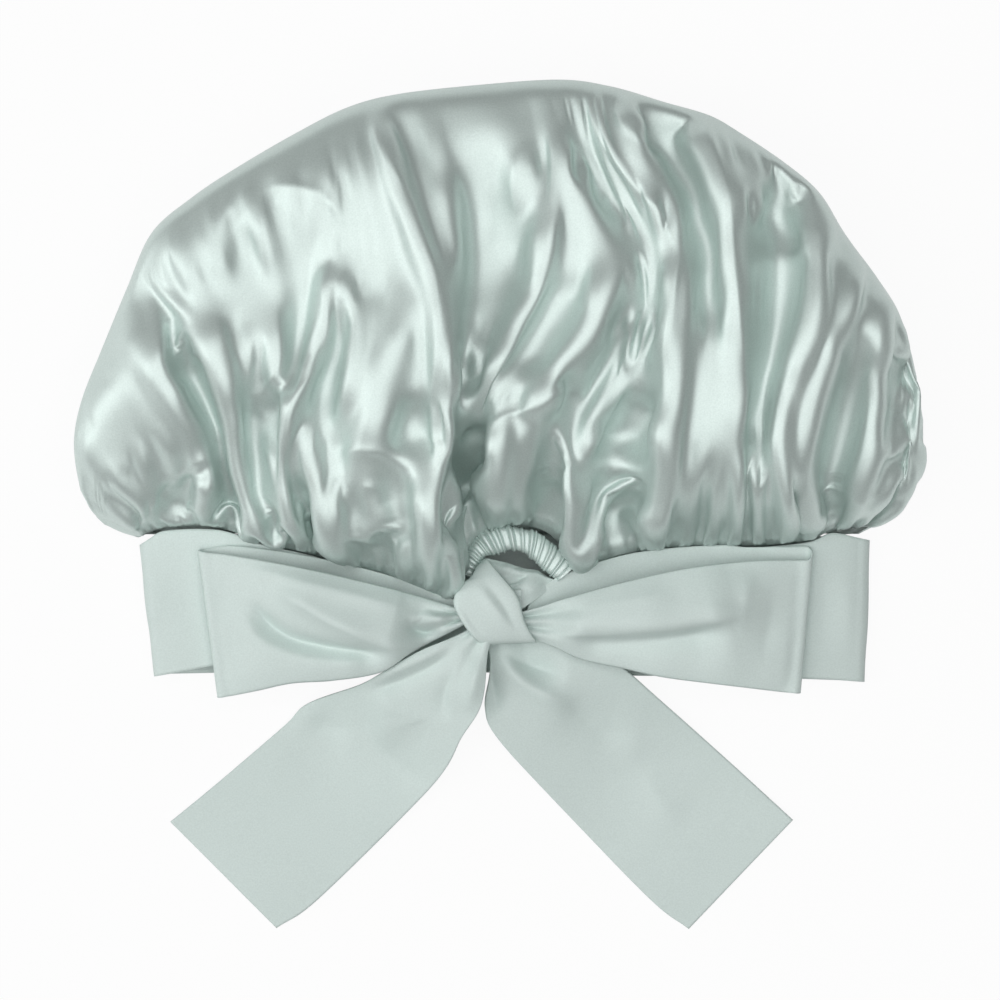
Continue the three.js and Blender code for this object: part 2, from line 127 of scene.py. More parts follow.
def spline(points, count):
    """count points, evenly spaced, on a smooth curve through points of any number of coordinates."""
    p = np.asarray(points, float)
    ends = np.vstack([2 * p[0] - p[1], p, 2 * p[-1] - p[-2]])
    t = np.linspace(0.0, 1.0, 24, endpoint=False)[:, None]
    parts = [through(*four, t) for four in zip(ends[:-3], ends[1:-2], ends[2:-1], ends[3:])]
    dense = np.vstack([*parts, p[-1:]])
    run = length_along(dense[:, :2])
    at = np.linspace(0.0, run[-1], count)
    return np.stack([np.interp(at, run, dense[:, k]) for k in range(dense.shape[1])], axis=1)


def grid_normals(grid, closed=False):
    """Unit normals of a grid of points, rows by columns."""
    along = np.gradient(grid, axis=0)
    if closed:
        across = np.roll(grid, -1, axis=1) - np.roll(grid, 1, axis=1)
    else:
        across = np.gradient(grid, axis=1)
    normal = np.cross(across, along)
    size = np.linalg.norm(normal, axis=2, keepdims=True)
    return normal / np.maximum(size, 1e-9)


def wavy(xy, wavelength, seed, waves=9):
    """A smooth uneven field about 1 high, a sum of plane waves in seeded directions."""
    draw = np.random.default_rng(seed)
    total = np.zeros(xy.shape[:-1])
    for _ in range(waves):
        turn = draw.uniform(0, 2 * math.pi)
        size = wavelength * draw.uniform(0.7, 1.6)
        phase = draw.uniform(0, 2 * math.pi)
        along = xy[..., 0] * math.cos(turn) + xy[..., 1] * math.sin(turn)
        total += np.sin(along * 2 * math.pi / size + phase)
    return total / math.sqrt(waves)


FOLD_FADE = 16.0  # length over which a fold rises at its ends
FOLD_SEAM_PX = 504  # a crown fold that ends lower than this in the photograph runs on into the seam


def fold_field(xy, folds, into_seam=False):
    """Height added at xy by folds, each its crest's pixels, height, widths to west and east, and radius.

    A crest is drawn from the top of the photograph down. With into_seam, one that ends low keeps its height.
    """
    flat = xy.reshape(-1, 2)
    total = np.zeros(len(flat))
    for crest, height, west, east, radius in folds:
        line = spline(place(crest), 70)
        reach = 4.0 * max(west, east) + radius
        near = np.all((flat > line.min(axis=0) - reach) & (flat < line.max(axis=0) + reach), axis=1)
        spots = flat[near]
        step = np.diff(line, axis=0)
        size = np.linalg.norm(step, axis=1)
        unit = step / size[:, None]
        offset = spots[:, None, :] - line[None, :-1, :]
        run = np.clip((offset * unit).sum(axis=2), 0.0, size)
        away = offset - run[..., None] * unit
        gap = np.linalg.norm(away, axis=2)
        best = np.argmin(gap, axis=1)
        row = np.arange(len(best))
        side = away[row, best, 1] * unit[best, 0] - away[row, best, 0] * unit[best, 1]
        share = (best + run[row, best] / size[best]) / len(size)
        fade_share = min(FOLD_FADE / size.sum(), 0.45)
        fade = smooth(share / fade_share)
        if not into_seam or crest[-1][1] < FOLD_SEAM_PX:
            fade = fade * smooth((1.0 - share) / fade_share)
        width = mix(west, east, smooth(0.5 + side / (2.0 * radius)))
        drop = (np.sqrt(gap[row, best] ** 2 + radius**2) - radius) / width
        total[near] += height * fade * np.exp(-drop)
    return total.reshape(xy.shape[:-1])


# Meshes


def mesh_object(name, points, faces, uv):
    """A smooth-shaded mesh from points in millimetres, with one UV place for each point."""
    mesh = bpy.data.meshes.new(name)
    mesh.from_pydata((points * METRES).tolist(), [], faces.tolist())
    mesh.validate()
    layer = mesh.uv_layers.new(name="cloth")
    loops = np.empty(len(mesh.loops), int)
    mesh.loops.foreach_get("vertex_index", loops)
    layer.data.foreach_set("uv", uv.astype(np.float32)[loops].ravel())
    mesh.polygons.foreach_set("use_smooth", np.ones(len(mesh.polygons), bool))
    obj = bpy.data.objects.new(name, mesh)
    bpy.context.collection.objects.link(obj)
    return obj


def sheet_object(name, grid, thickness, material, closed=False):
    """A sheet of cloth whose middle is the grid; closed joins its last column to its first."""
    normal = grid_normals(grid, closed)
    rows, columns = grid.shape[:2]
    over_and_under = [grid + normal * thickness / 2, grid - normal * thickness / 2]
    points = np.concatenate([layer.reshape(-1, 3) for layer in over_and_under])
    index = np.arange(rows * columns).reshape(rows, columns)
    if closed:
        index = np.concatenate([index, index[:, :1]], axis=1)
    a, b = index[:-1, :-1].ravel(), index[:-1, 1:].ravel()
    c, d = index[1:, 1:].ravel(), index[1:, :-1].ravel()
    under = rows * columns
    faces = [np.stack([a, b, c, d], 1), np.stack([a, d, c, b], 1) + under]
    borders = [index[0], index[-1][::-1]]
    if not closed:
        borders += [index[::-1, 0], index[:, -1]]
    for edge in borders:
        faces.append(np.stack([edge[:-1], edge[:-1] + under, edge[1:] + under, edge[1:]], 1))
    across = sums(np.linalg.norm(np.diff(grid, axis=1), axis=2).mean(axis=0))
    along = sums(np.linalg.norm(np.diff(grid, axis=0), axis=2).mean(axis=1))
    uv = np.stack(np.meshgrid(across, along), axis=-1).reshape(-1, 2) * METRES
    obj = mesh_object(name, points, np.concatenate(faces), np.concatenate([uv, uv]))
    obj.data.materials.append(material)
    return obj


def on_cap(piece, node):
    """Hides the node of the cap that a piece stands for, and makes the piece move with the cap."""
    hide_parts(node)
    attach(piece, "cap")


# Materials


def new_material(name):
    material = bpy.data.materials.new(name)
    material.use_nodes = True
    nodes = material.node_tree.nodes
    return material, nodes, material.node_tree.links, nodes["Principled BSDF"]


# Scales of the satin's two noises, in turns per metre, and how they make its tone
THREAD_SCALE = 1500.0
SHADE_SCALE = 18.0
THREAD_SHARE = 0.7
TONE_RANGE = (0.3, 0.7)
THREAD_HEIGHT = 0.0002


def noise(nodes, scale, detail):
    node = nodes.new("ShaderNodeTexNoise")
    node.inputs["Scale"].default_value = scale
    node.inputs["Detail"].default_value = detail
    return node


def satin_material(name, low, high, roughness, metallic, grain):
    """Satin: gloss over fine threads, its tone between two colours in threads and in broad patches."""
    material, nodes, links, shader = new_material(name)
    place_node = nodes.new("ShaderNodeTexCoord")
    fine = noise(nodes, THREAD_SCALE, 2.0)
    broad = noise(nodes, SHADE_SCALE, 3.0)
    links.new(place_node.outputs["Object"], fine.inputs["Vector"])
    links.new(place_node.outputs["Object"], broad.inputs["Vector"])
    blend_in = nodes.new("ShaderNodeMix")
    blend_in.inputs["Factor"].default_value = THREAD_SHARE
    links.new(broad.outputs["Fac"], blend_in.inputs["A"])
    links.new(fine.outputs["Fac"], blend_in.inputs["B"])
    tone = nodes.new("ShaderNodeValToRGB")
    for stop, position, colour in zip(tone.color_ramp.elements, TONE_RANGE, (low, high)):
        stop.position = position
        stop.color = (*colour, 1)
    links.new(blend_in.outputs["Result"], tone.inputs["Fac"])
    links.new(tone.outputs["Color"], shader.inputs["Base Color"])
    bump = nodes.new("ShaderNodeBump")
    bump.inputs["Strength"].default_value = grain
    bump.inputs["Distance"].default_value = THREAD_HEIGHT
    links.new(fine.outputs["Fac"], bump.inputs["Height"])
    links.new(bump.outputs["Normal"], shader.inputs["Normal"])
    shader.inputs["Roughness"].default_value = roughness
    shader.inputs["Metallic"].default_value = metallic
    return material


SATIN = satin_material(
    "glossy_satin", low=(0.59, 0.685, 0.655), high=(0.69, 0.785, 0.755),
    roughness=0.46, metallic=0.6, grain=0.25,
)
DULL_SATIN = satin_material(
    "dull_satin", low=(0.61, 0.705, 0.675), high=(0.69, 0.79, 0.76),
    roughness=0.6, metallic=0.0, grain=0.2,
)
ELASTIC = satin_material(
    "woven_elastic", low=(0.75, 0.77, 0.75), high=(0.85, 0.87, 0.85),
    roughness=0.9, metallic=0.0, grain=0.6,
)


# Crown

CROWN_RIM = [
    (137, 537), (118, 531), (100, 520), (87, 500), (80, 480), (77, 440), (85, 400), (105, 350), (130, 290),
    (155, 235), (195, 200), (240, 170), (300, 135), (350, 110), (400, 97), (480, 88), (560, 83), (610, 90),
    (660, 105), (705, 118), (735, 135), (780, 165), (815, 195), (840, 235), (870, 275), (893, 310),
    (905, 345), (915, 390), (921, 440), (918, 470), (900, 500), (878, 525),
]
CROWN_SEAM = [
    (137, 537), (160, 529), (206, 526), (232, 531), (265, 543), (306, 552), (349, 564), (385, 573),
    (423, 588), (449, 598), (464, 575), (474, 546), (497, 529), (520, 525), (545, 531), (565, 549),
    (577, 568), (595, 563), (623, 554), (669, 548), (725, 546), (763, 545), (809, 540), (832, 531),
    (878, 525),
]
# Lines that the cloth's lengthwise threads follow, each from the seam up to the rim
CROWN_GUIDES = [
    [(165, 529), (150, 480), (125, 430), (110, 390), (97, 370)],
    [(206, 526), (216, 455), (188, 401), (166, 347), (158, 300), (139, 270)],
    [(266, 543), (245, 484), (234, 420), (226, 366), (205, 325), (185, 280), (172, 219)],
    [(304, 552), (281, 500), (272, 450), (277, 400), (283, 340), (272, 270), (255, 215), (245, 167)],
    [(328, 558), (304, 500), (295, 440), (304, 401), (328, 357), (330, 300), (336, 250), (332, 190),
     (322, 124)],
    [(385, 573), (360, 520), (350, 459), (362, 382), (378, 310), (380, 240), (362, 165), (350, 110)],
    [(423, 588), (420, 506), (430, 420), (438, 340), (435, 285), (420, 229), (396, 172), (381, 135),
     (377, 104)],
    [(447, 597), (440, 500), (445, 420), (457, 350), (463, 280), (452, 210), (430, 150), (422, 95)],
    [(468, 562), (462, 490), (472, 420), (507, 352), (538, 290), (545, 220), (535, 150), (520, 86)],
    [(520, 525), (518, 470), (530, 420), (570, 365), (605, 314), (618, 270), (600, 225), (570, 170),
     (550, 83)],
    [(577, 568), (575, 500), (590, 440), (620, 380), (645, 320), (652, 270), (632, 222), (595, 165),
     (576, 85)],
    [(648, 549), (651, 506), (659, 411), (664, 331), (673, 264), (655, 219), (622, 176), (602, 135),
     (598, 88)],
    [(690, 547), (694, 450), (694, 325), (688, 248), (665, 184), (635, 130), (622, 94)],
    [(731, 546), (736, 459), (737, 360), (728, 283), (719, 200), (706, 145), (702, 117)],
    [(757, 545), (752, 460), (762, 370), (772, 290), (765, 200), (755, 147)],
    [(788, 542), (768, 459), (780, 385), (803, 325), (807, 290), (800, 235), (792, 175)],
    [(803, 541), (800, 470), (815, 400), (838, 330), (843, 280), (836, 229)],
    [(833, 531), (845, 470), (860, 411), (868, 345), (870, 300), (866, 270)],
    [(858, 528), (888, 490), (900, 440), (900, 390), (905, 345)],
]
CROWN_RIM_LIFT = 27.0
CROWN_LOFT = 29.0
LOFT_SPAN = 150.0  # a shorter line from seam to rim has less loft
ROLL_SHARE = 0.45  # of the loft, risen in the rolls at the rim and at the seam
RIM_ROLL = 3.0
RIM_SLOPE = 25.0
SEAM_ROLL = 11.0
SEAM_SLOPE = 70.0
CROWN_ROUNDING = 43.0
CROWN_BACK_ROWS = 44
ROW_SPREAD = 1.15  # above 1, the front's rows lie closer at the seam
BACK_ROW_SPREAD = 1.6  # above 1, the back's rows lie closer at the rim
WALL_FOLD_SPACING = 22.0  # along the rim
WALL_FOLD_DEPTH = 7.0
WALL_END_FADE = 40.0  # along the rim, at the crown's two ends
CROWN_FLOOR = 6.0  # the front stays above the layer that lies on the table
END_SHARE = 0.06  # of the crown's columns, over which its two ends come down to the band

# The folds before the cloth settles
FOLD_SCALE = 1.7
HOLLOW_SCALE = 2.0
FOLD_LEAST = 4.0  # no side of a fold is narrower than this
RIM_FADE = 14.0  # folds die out over this distance from the rim
SEAM_FADE = 5.0
SHORT_SPAN = 60.0  # a line from seam to rim that is shorter than this has weaker folds

# The lobes between the stitches of the seam
STITCH_RANGE = (5.5, 14.0)
STITCHES = 60
LOBE_HEIGHT = 4.0
LOBE_RANGE = (0.55, 1.3)
LOBE_MIDDLE = 0.6  # the part of a lobe's height that lies below the plain cloth
LOBE_START = 4.0
LOBE_REACH = 14.0

# How the crown's cloth settles: columns, rows, rounds and stiffness in bending, from coarse to fine
CROWN_LEVELS = [(160, 66, 70, 0.3), (448, 184, 60, 0.15)]
FIXED_COLUMNS = 2  # at each end of the coarse grid
SLACK_BLUR = 4
SLACK_SCALE = 0.9  # of the length that the folds add across
SEAM_SLACK = 0.45  # more cloth across, at the seam
SEAM_REACH = 16.0
CALM_X = -120.0  # left of this the seam has few gathers
CALM_SHARE = 0.2
CALM_FADE = 15.0
CLOTH_SHEAR = 0.3
CLOTH_EASE = 0.4
CLOTH_INERTIA = 0.85

# Crisp lines along the sharper crests of the settled cloth
CREASE_HEIGHT = 0.9
CREASE_WIDTH = 1.8
CREASE_RADIUS = 1.3  # a crest is sharp below this radius
CREASE_FADE = 12.0  # at the seam and at the rim

# Crests and valleys of the crown, read off the photograph: pixels from the top down, height, width to the
# west, width to the east and radius of the crest
CROWN_FOLDS = [
    # The smooth bulge on the left: its lip, the hollow behind it, the ridge and the tuck over the band
    ([(167, 318), (165, 347), (170, 369), (188, 401), (203, 427), (218, 455)], 10, 24, 4, 0.8),
    ([(182, 350), (196, 385), (212, 415), (224, 455), (228, 520)], -8, 5, 6, 2),
    ([(192, 316), (213, 344), (226, 366), (234, 392), (234, 420), (237, 452), (245, 484), (258, 506),
      (266, 538)], 10, 7, 7, 1.6),
    ([(277, 385), (268, 415), (262, 450), (262, 490), (270, 532)], -10, 7, 7, 3),
    ([(218, 455), (200, 463), (180, 478), (165, 494), (156, 504)], 6, 15, 2.5, 0.6),
    ([(206, 468), (190, 486), (174, 500), (164, 512)], -7, 4, 7, 2),
    ([(217, 458), (213, 480), (208, 500), (204, 520)], 6, 2.5, 4, 0.6),
    # Upper left: the puff, the arch and the lip below it
    ([(237, 188), (246, 208), (246, 228), (237, 247), (229, 267), (207, 280), (183, 293)], 4, 13, 5, 1.5),
    ([(252, 200), (254, 225), (244, 252), (236, 280), (215, 296), (190, 304)], -3, 5, 7, 3),
    ([(264, 200), (267, 213), (269, 239), (274, 264), (280, 290)], 3, 3, 5, 0.8),
    ([(264, 200), (283, 191), (302, 194), (321, 200), (337, 213), (352, 236)], 3.5, 9, 5, 1.0),
    ([(312, 235), (319, 265), (320, 300), (312, 340), (300, 372)], -5, 9, 6, 4),
    ([(278, 302), (283, 331), (285, 357), (280, 376), (267, 395), (258, 414)], 5, 12, 2.5, 0.6),
    ([(288, 325), (294, 350), (292, 375), (280, 395)], -3.5, 3, 6, 2),
    # Left middle: the two long ridges and the gathers at their foot
    ([(341, 258), (331, 277), (329, 302), (331, 331), (328, 357), (315, 379), (299, 401), (293, 427),
      (294, 455), (296, 470)], 8, 6, 3.5, 0.8),
    ([(357, 274), (344, 290), (349, 325), (353, 353), (350, 382), (341, 417), (334, 436)], 5.5, 4, 14, 1.0),
    ([(337, 300), (340, 340), (338, 375), (326, 405), (318, 425)], -4.5, 4, 4, 2),
    ([(280, 436), (277, 475), (283, 506), (296, 532), (304, 548)], 6, 4, 7, 1.5),
    ([(334, 436), (315, 440), (311, 475), (318, 505), (328, 530)], 6, 4, 7, 1.5),
    ([(300, 470), (302, 500), (312, 525), (322, 548)], -8, 4, 4, 2),
    # The long lip from the top, the swelling at its foot and the slim ridge on its right
    ([(377, 119), (380, 143), (393, 172), (408, 197), (420, 229), (431, 264), (438, 296), (439, 331),
      (437, 379), (430, 420)], 9, 30, 3, 0.7),
    ([(436, 318), (414, 347), (398, 369), (388, 404), (385, 436), (388, 455)], 6, 10, 8, 2),
    ([(437, 380), (428, 410), (418, 440), (412, 470)], -11, 4, 4, 2),
    ([(422, 172), (439, 190), (449, 220), (453, 251), (452, 290), (447, 331), (443, 379), (436, 427),
      (427, 475), (420, 506), (422, 560)], 8, 4, 7, 1.6),
    ([(470, 220), (474, 260), (466, 300)], -4, 9, 15, 5),
    # The knot of wrinkles above the band
    ([(334, 476), (341, 459), (357, 452), (379, 452), (398, 459), (411, 475), (417, 506),
      (411, 529)], 6, 4, 7, 1.2),
    ([(357, 505), (358, 495), (366, 487), (379, 490), (382, 506), (396, 510)], 4, 3, 3, 1.0),
    ([(340, 478), (338, 500), (345, 530), (352, 560)], 5, 5, 5, 1.2),
    ([(365, 520), (370, 545), (372, 570)], 5, 4, 4, 1.2),
    ([(392, 520), (386, 545), (404, 575)], 6, 5, 5, 1.2),
    # Middle: the small leaf, the dark gap and the peak with its long leg
    ([(465, 315), (455, 337), (451, 366), (448, 395)], 4, 3, 4, 0.6),
    ([(466, 318), (473, 341), (478, 366), (484, 385)], 4, 4, 6, 0.8),
    ([(466, 345), (467, 375), (469, 402)], -9, 5, 6, 2),
    ([(478, 432), (466, 460), (464, 485), (468, 510)], -22, 5, 5, 2),
    ([(548, 205), (548, 251), (541, 283), (529, 312), (513, 341), (497, 369), (478, 398), (459, 427),
      (443, 459), (434, 480)], 9, 10, 9, 1.6),
    ([(537, 148), (522, 158), (514, 180), (514, 205), (518, 228)], 5.5, 9, 9, 1.2),
    ([(537, 148), (552, 154), (572, 178), (591, 203), (613, 226), (639, 242), (670, 264)], 7, 24, 5, 1.4),
    ([(556, 140), (580, 165), (605, 198), (632, 222), (664, 244)], -6, 4, 7, 3),
    ([(500, 180), (503, 225), (500, 270), (490, 320), (478, 350)], -5, 15, 9, 6),
    # Slanting folds from the right down to the gap
    ([(645, 262), (622, 284), (598, 314), (578, 343), (556, 367), (540, 382), (524, 395),
      (501, 408)], 9, 8, 10, 5),
    ([(578, 270), (560, 310), (545, 340), (525, 368), (505, 390)], -6, 7, 6, 3),
    ([(648, 296), (632, 321), (603, 347), (581, 373), (556, 395), (530, 411), (501, 420), (484, 440),
      (474, 462)], 6, 8, 3, 0.8),
    ([(651, 312), (613, 347), (588, 379), (565, 398), (535, 420)], -8, 4, 8, 2),
    ([(650, 350), (620, 378), (590, 410)], 4, 7, 9, 5),
    ([(642, 405), (622, 440), (602, 462)], -14, 11, 11, 8),
    # Puffs beside the casing
    ([(540, 452), (530, 475), (522, 500), (518, 520)], 6, 12, 12, 3),
    ([(490, 440), (482, 460), (490, 485), (502, 515)], 6, 6, 9, 3),
    ([(556, 440), (553, 470), (550, 520)], -8, 4, 4, 2),
    ([(591, 478), (584, 466), (572, 465), (565, 475), (564, 500), (562, 535)], 6, 7, 7, 1.2),
    ([(598, 478), (600, 500), (590, 520)], -8, 7, 9, 4),
    ([(640, 470), (628, 500), (606, 530), (588, 556)], 6, 6, 6, 1.0),
    ([(645, 500), (630, 520), (610, 545)], -9, 3.5, 3.5, 1.2),
    # The big pleat: the fold that leads into it, its two edges and the dark panel on its right
    ([(598, 95), (594, 108), (597, 140), (610, 165), (632, 194), (655, 219), (667, 242),
      (673, 264)], 6, 6, 6, 1.0),
    ([(670, 250), (673, 264), (669, 296), (664, 331), (661, 366), (659, 411), (656, 459), (651, 506),
      (650, 530)], 11, 2.5, 15, 0.6),
    ([(607, 95), (616, 124), (639, 152), (661, 184), (677, 213), (686, 248), (690, 277), (694, 325),
      (694, 360)], 5, 6, 4, 0.8),
    ([(622, 120), (645, 143), (668, 165), (685, 203), (695, 239), (699, 267), (700, 315),
      (702, 350)], -8, 4, 6, 1.5),
    ([(702, 116), (704, 140), (712, 168), (720, 200), (725, 239), (728, 283), (733, 321), (737, 360),
      (738, 411), (736, 459), (733, 506), (731, 535)], 13, 14, 14, 0.7),
    ([(768, 190), (778, 240), (782, 290), (772, 340), (758, 400), (754, 460), (752, 520)], -9, 13, 7, 4),
    ([(744, 365), (748, 410), (752, 460)], -8, 4, 6, 2),
    ([(735, 378), (718, 420), (700, 450), (684, 486), (676, 515)], 4.5, 9, 7, 2.5),
    ([(741, 452), (750, 485), (757, 530)], 6, 3, 4, 0.8),
    # Right side: long ridges from the rim down to the seam
    ([(788, 222), (804, 277), (809, 302), (804, 331), (792, 360), (779, 385), (773, 411), (766, 459),
      (774, 484), (782, 513), (788, 535)], 9, 12, 5, 1.6),
    ([(827, 194), (836, 239), (843, 277), (841, 312), (827, 347), (814, 379), (804, 417), (798, 459),
      (788, 497), (786, 525)], 6, 9, 6, 2.5),
    ([(855, 262), (856, 309), (843, 357), (827, 395), (814, 427), (808, 475), (803, 530)], 7, 6, 6, 1.6),
    ([(850, 340), (842, 380), (834, 420), (826, 470), (815, 515)], -7, 7, 7, 3),
    ([(863, 267), (873, 295), (873, 331), (869, 379), (869, 411), (862, 459), (849, 491),
      (833, 522)], 8, 6, 6, 2.5),
    ([(884, 340), (888, 375), (886, 410), (876, 450)], -2.5, 8, 8, 4),
    ([(847, 491), (862, 494), (884, 487), (900, 468)], 3, 5, 5, 1.5),
    ([(848, 496), (842, 508), (834, 524)], -8, 3, 3, 1.0),
]


def crown_plan(columns, rows):
    """The crown's front from above: columns along the guide lines, rows from the seam to the rim."""
    seam = spline(place(CROWN_SEAM), 600)
    rim = spline(place(CROWN_RIM), 900)
    run = even(rows) ** ROW_SPREAD
    at = even(columns)
    starts, ends, middles, bends = [0.0], [0.0], [0.0], [np.zeros((rows, 2))]
    for guide in CROWN_GUIDES:
        line = spline(place(guide), 200)
        starts.append(np.argmin(np.linalg.norm(seam - line[0], axis=1)) / (len(seam) - 1))
        ends.append(np.argmin(np.linalg.norm(rim - line[-1], axis=1)) / (len(rim) - 1))
        middles.append((starts[-1] + ends[-1]) / 2)
        bent = np.stack([np.interp(run, even(200), line[:, k]) for k in (0, 1)], axis=1)
        bends.append(bent - mix(line[0], line[-1], run[:, None]))
    starts, ends, middles = starts + [1.0], ends + [1.0], middles + [1.0]
    bends = np.array(bends + [np.zeros((rows, 2))])

    def on(curve, share):
        where = share * (len(curve) - 1)
        return np.stack([np.interp(where, np.arange(len(curve)), curve[:, k]) for k in (0, 1)], axis=1)

    bottom = on(seam, np.interp(at, middles, starts))
    top = on(rim, np.interp(at, middles, ends))
    bend = np.stack(
        [[np.interp(at, middles, bends[:, i, k]) for i in range(rows)] for k in (0, 1)], axis=-1
    )
    for _ in range(columns // 12):
        bend[:, 1:-1] = 0.25 * bend[:, :-2] + 0.5 * bend[:, 1:-1] + 0.25 * bend[:, 2:]
    return mix(bottom[None], top[None], run[:, None, None]) + bend


def crown_plain(columns, rows):
    """The crown's front without its folds, and how far each point is from the seam."""
    xy = crown_plan(columns, rows)
    share = even(columns)
    across = np.sqrt(np.clip(1.0 - (xy[0, :, 0] / BAND_HALF_WIDTH) ** 2, 0.0, 1.0))
    seam_z = mix(BAND_FOLD_LIFT, BAND_SEAM_LIFT, across**0.8)
    rim_z = mix(BAND_FOLD_LIFT, CROWN_RIM_LIFT, smooth(np.minimum(share, 1.0 - share) / END_SHARE))
    step = np.linalg.norm(np.diff(xy, axis=0), axis=2)
    from_seam = np.concatenate([np.zeros((1, columns)), np.cumsum(step, axis=0)])
    span = np.maximum(from_seam[-1], 1e-6)
    from_rim = span[None] - from_seam
    edge = rounded(from_seam / SEAM_ROLL) * rounded(from_rim / RIM_ROLL)
    body = rounded(from_seam / SEAM_SLOPE) * rounded(from_rim / RIM_SLOPE)
    loft = CROWN_LOFT * np.clip(span / LOFT_SPAN, 0.0, 1.0)
    z = mix(seam_z[None], rim_z[None], from_seam / span[None]) + loft[None] * mix(body, edge, ROLL_SHARE)
    return np.concatenate([xy, z[..., None]], axis=2), from_seam


def crown_creased(grid, from_seam):
    """The plain front with the drawn folds and a row of lobes along the seam, before the cloth settles."""
    creased = grid.copy()
    from_rim = from_seam[-1] - from_seam
    fade = smooth(from_rim / RIM_FADE) * smooth(from_seam / SEAM_FADE)
    fade = fade * smooth(from_seam[-1] / SHORT_SPAN)[None]
    folds = []
    for crest, height, west, east, radius in CROWN_FOLDS:
        height *= FOLD_SCALE if height > 0 else HOLLOW_SCALE
        west, east = max(west, FOLD_LEAST), max(east, FOLD_LEAST)
        folds.append((crest, height, west, east, max(radius, FOLD_LEAST / 3)))
    creased[..., 2] += fade * fold_field(grid[..., :2], folds, into_seam=True)

    draw = np.random.default_rng(11)
    stitches = sums(draw.uniform(*STITCH_RANGE, STITCHES))
    phase = np.interp(length_along(grid[0, :, :2]), stitches, np.arange(len(stitches)))
    sizes = draw.uniform(*LOBE_RANGE, STITCHES + 2)
    lobe = np.abs(np.sin(np.pi * phase)) ** 0.7 * np.interp(phase + 0.5, np.arange(len(sizes)), sizes)
    place_in_row = np.arange(grid.shape[1])
    ends = smooth(np.minimum(place_in_row, place_in_row[::-1]) / (END_SHARE * len(place_in_row)))[None]
    rise = smooth(from_seam / LOBE_START) * np.exp(-from_seam / LOBE_REACH) * ends
    creased[..., 2] += LOBE_HEIGHT * (lobe[None] - LOBE_MIDDLE) * rise
    return creased


def blur(field, rounds):
    """A field on a grid, each value eased towards its neighbours over and over."""
    for _ in range(rounds):
        wide = np.pad(field, 1, mode="edge")
        near = 0.25 * (wide[:-2, 1:-1] + wide[2:, 1:-1] + wide[1:-1, :-2] + wide[1:-1, 2:])
        field = mix(field, near, 0.5)
    return field


def resample(grid, rows, columns):
    """A grid of points or of values at another number of rows and columns, on smooth curves through it."""
    for axis, count in ((0, rows), (1, columns)):
        line = np.moveaxis(grid, axis, 0)
        at = np.linspace(0.0, len(line) - 1.0, count)
        low = np.clip(at.astype(int), 0, len(line) - 2)
        t = (at - low).reshape((-1,) + (1,) * (line.ndim - 1))
        a, b = line[np.maximum(low - 1, 0)], line[low]
        c, d = line[low + 1], line[np.minimum(low + 2, len(line) - 1)]
        grid = np.moveaxis(through(a, b, c, d, t), 0, axis)
    return grid


def settle(grid, base, slack, rounds, bending):
    """Cloth let go at grid, whose threads are as long as base's, those across longer by the share slack.

    Its border stays.
    """
    across = np.diff(base, axis=1) * (1.0 + slack[:, 1:, None])
    along = np.diff(base, axis=0)
    rest_across = np.linalg.norm(across, axis=2)
    rest_along = np.linalg.norm(along, axis=2)
    every, first, last = slice(None), slice(None, -1), slice(1, None)
    two_before, two_after = slice(None, -2), slice(2, None)
    threads = [
        ((every, first), (every, last), rest_across, 1.0),
        ((first, every), (last, every), rest_along, 1.0),
        ((first, first), (last, last), np.linalg.norm(across[:-1] + along[:, 1:], axis=2), CLOTH_SHEAR),
        ((last, first), (first, last), np.linalg.norm(across[:-1] - along[:, :-1], axis=2), CLOTH_SHEAR),
        ((every, two_before), (every, two_after), rest_across[:, 1:] + rest_across[:, :-1], bending),
        ((two_before, every), (two_after, every), rest_along[1:] + rest_along[:-1], bending),
    ]
    free = np.zeros(grid.shape[:2] + (1,))
    free[1:-2, 2:-2] = 1.0
    here, before = grid.copy(), grid.copy()
    for _ in range(rounds):
        move = np.zeros_like(here)
        for start, end, rest, stiffness in threads:
            gap = here[end] - here[start]
            size = np.sqrt(np.einsum("ijk,ijk->ij", gap, gap))
            pull = gap * (0.5 * stiffness * (size - rest) / np.maximum(size, 1e-6))[..., None]
            move[start] += pull
            move[end] -= pull
        step = free * (CLOTH_EASE * move + CLOTH_INERTIA * (here - before))
        before = here
        here = here + step
        here[..., 2] = np.maximum(here[..., 2], CROWN_FLOOR)
    return here


def longer_across(grid, base):
    """Share by which a grid's threads across are longer than those of its base."""
    size = np.linalg.norm(np.diff(grid, axis=1), axis=2) / np.linalg.norm(np.diff(base, axis=1), axis=2)
    return np.pad(size - 1.0, [(0, 0), (1, 0)], mode="edge")


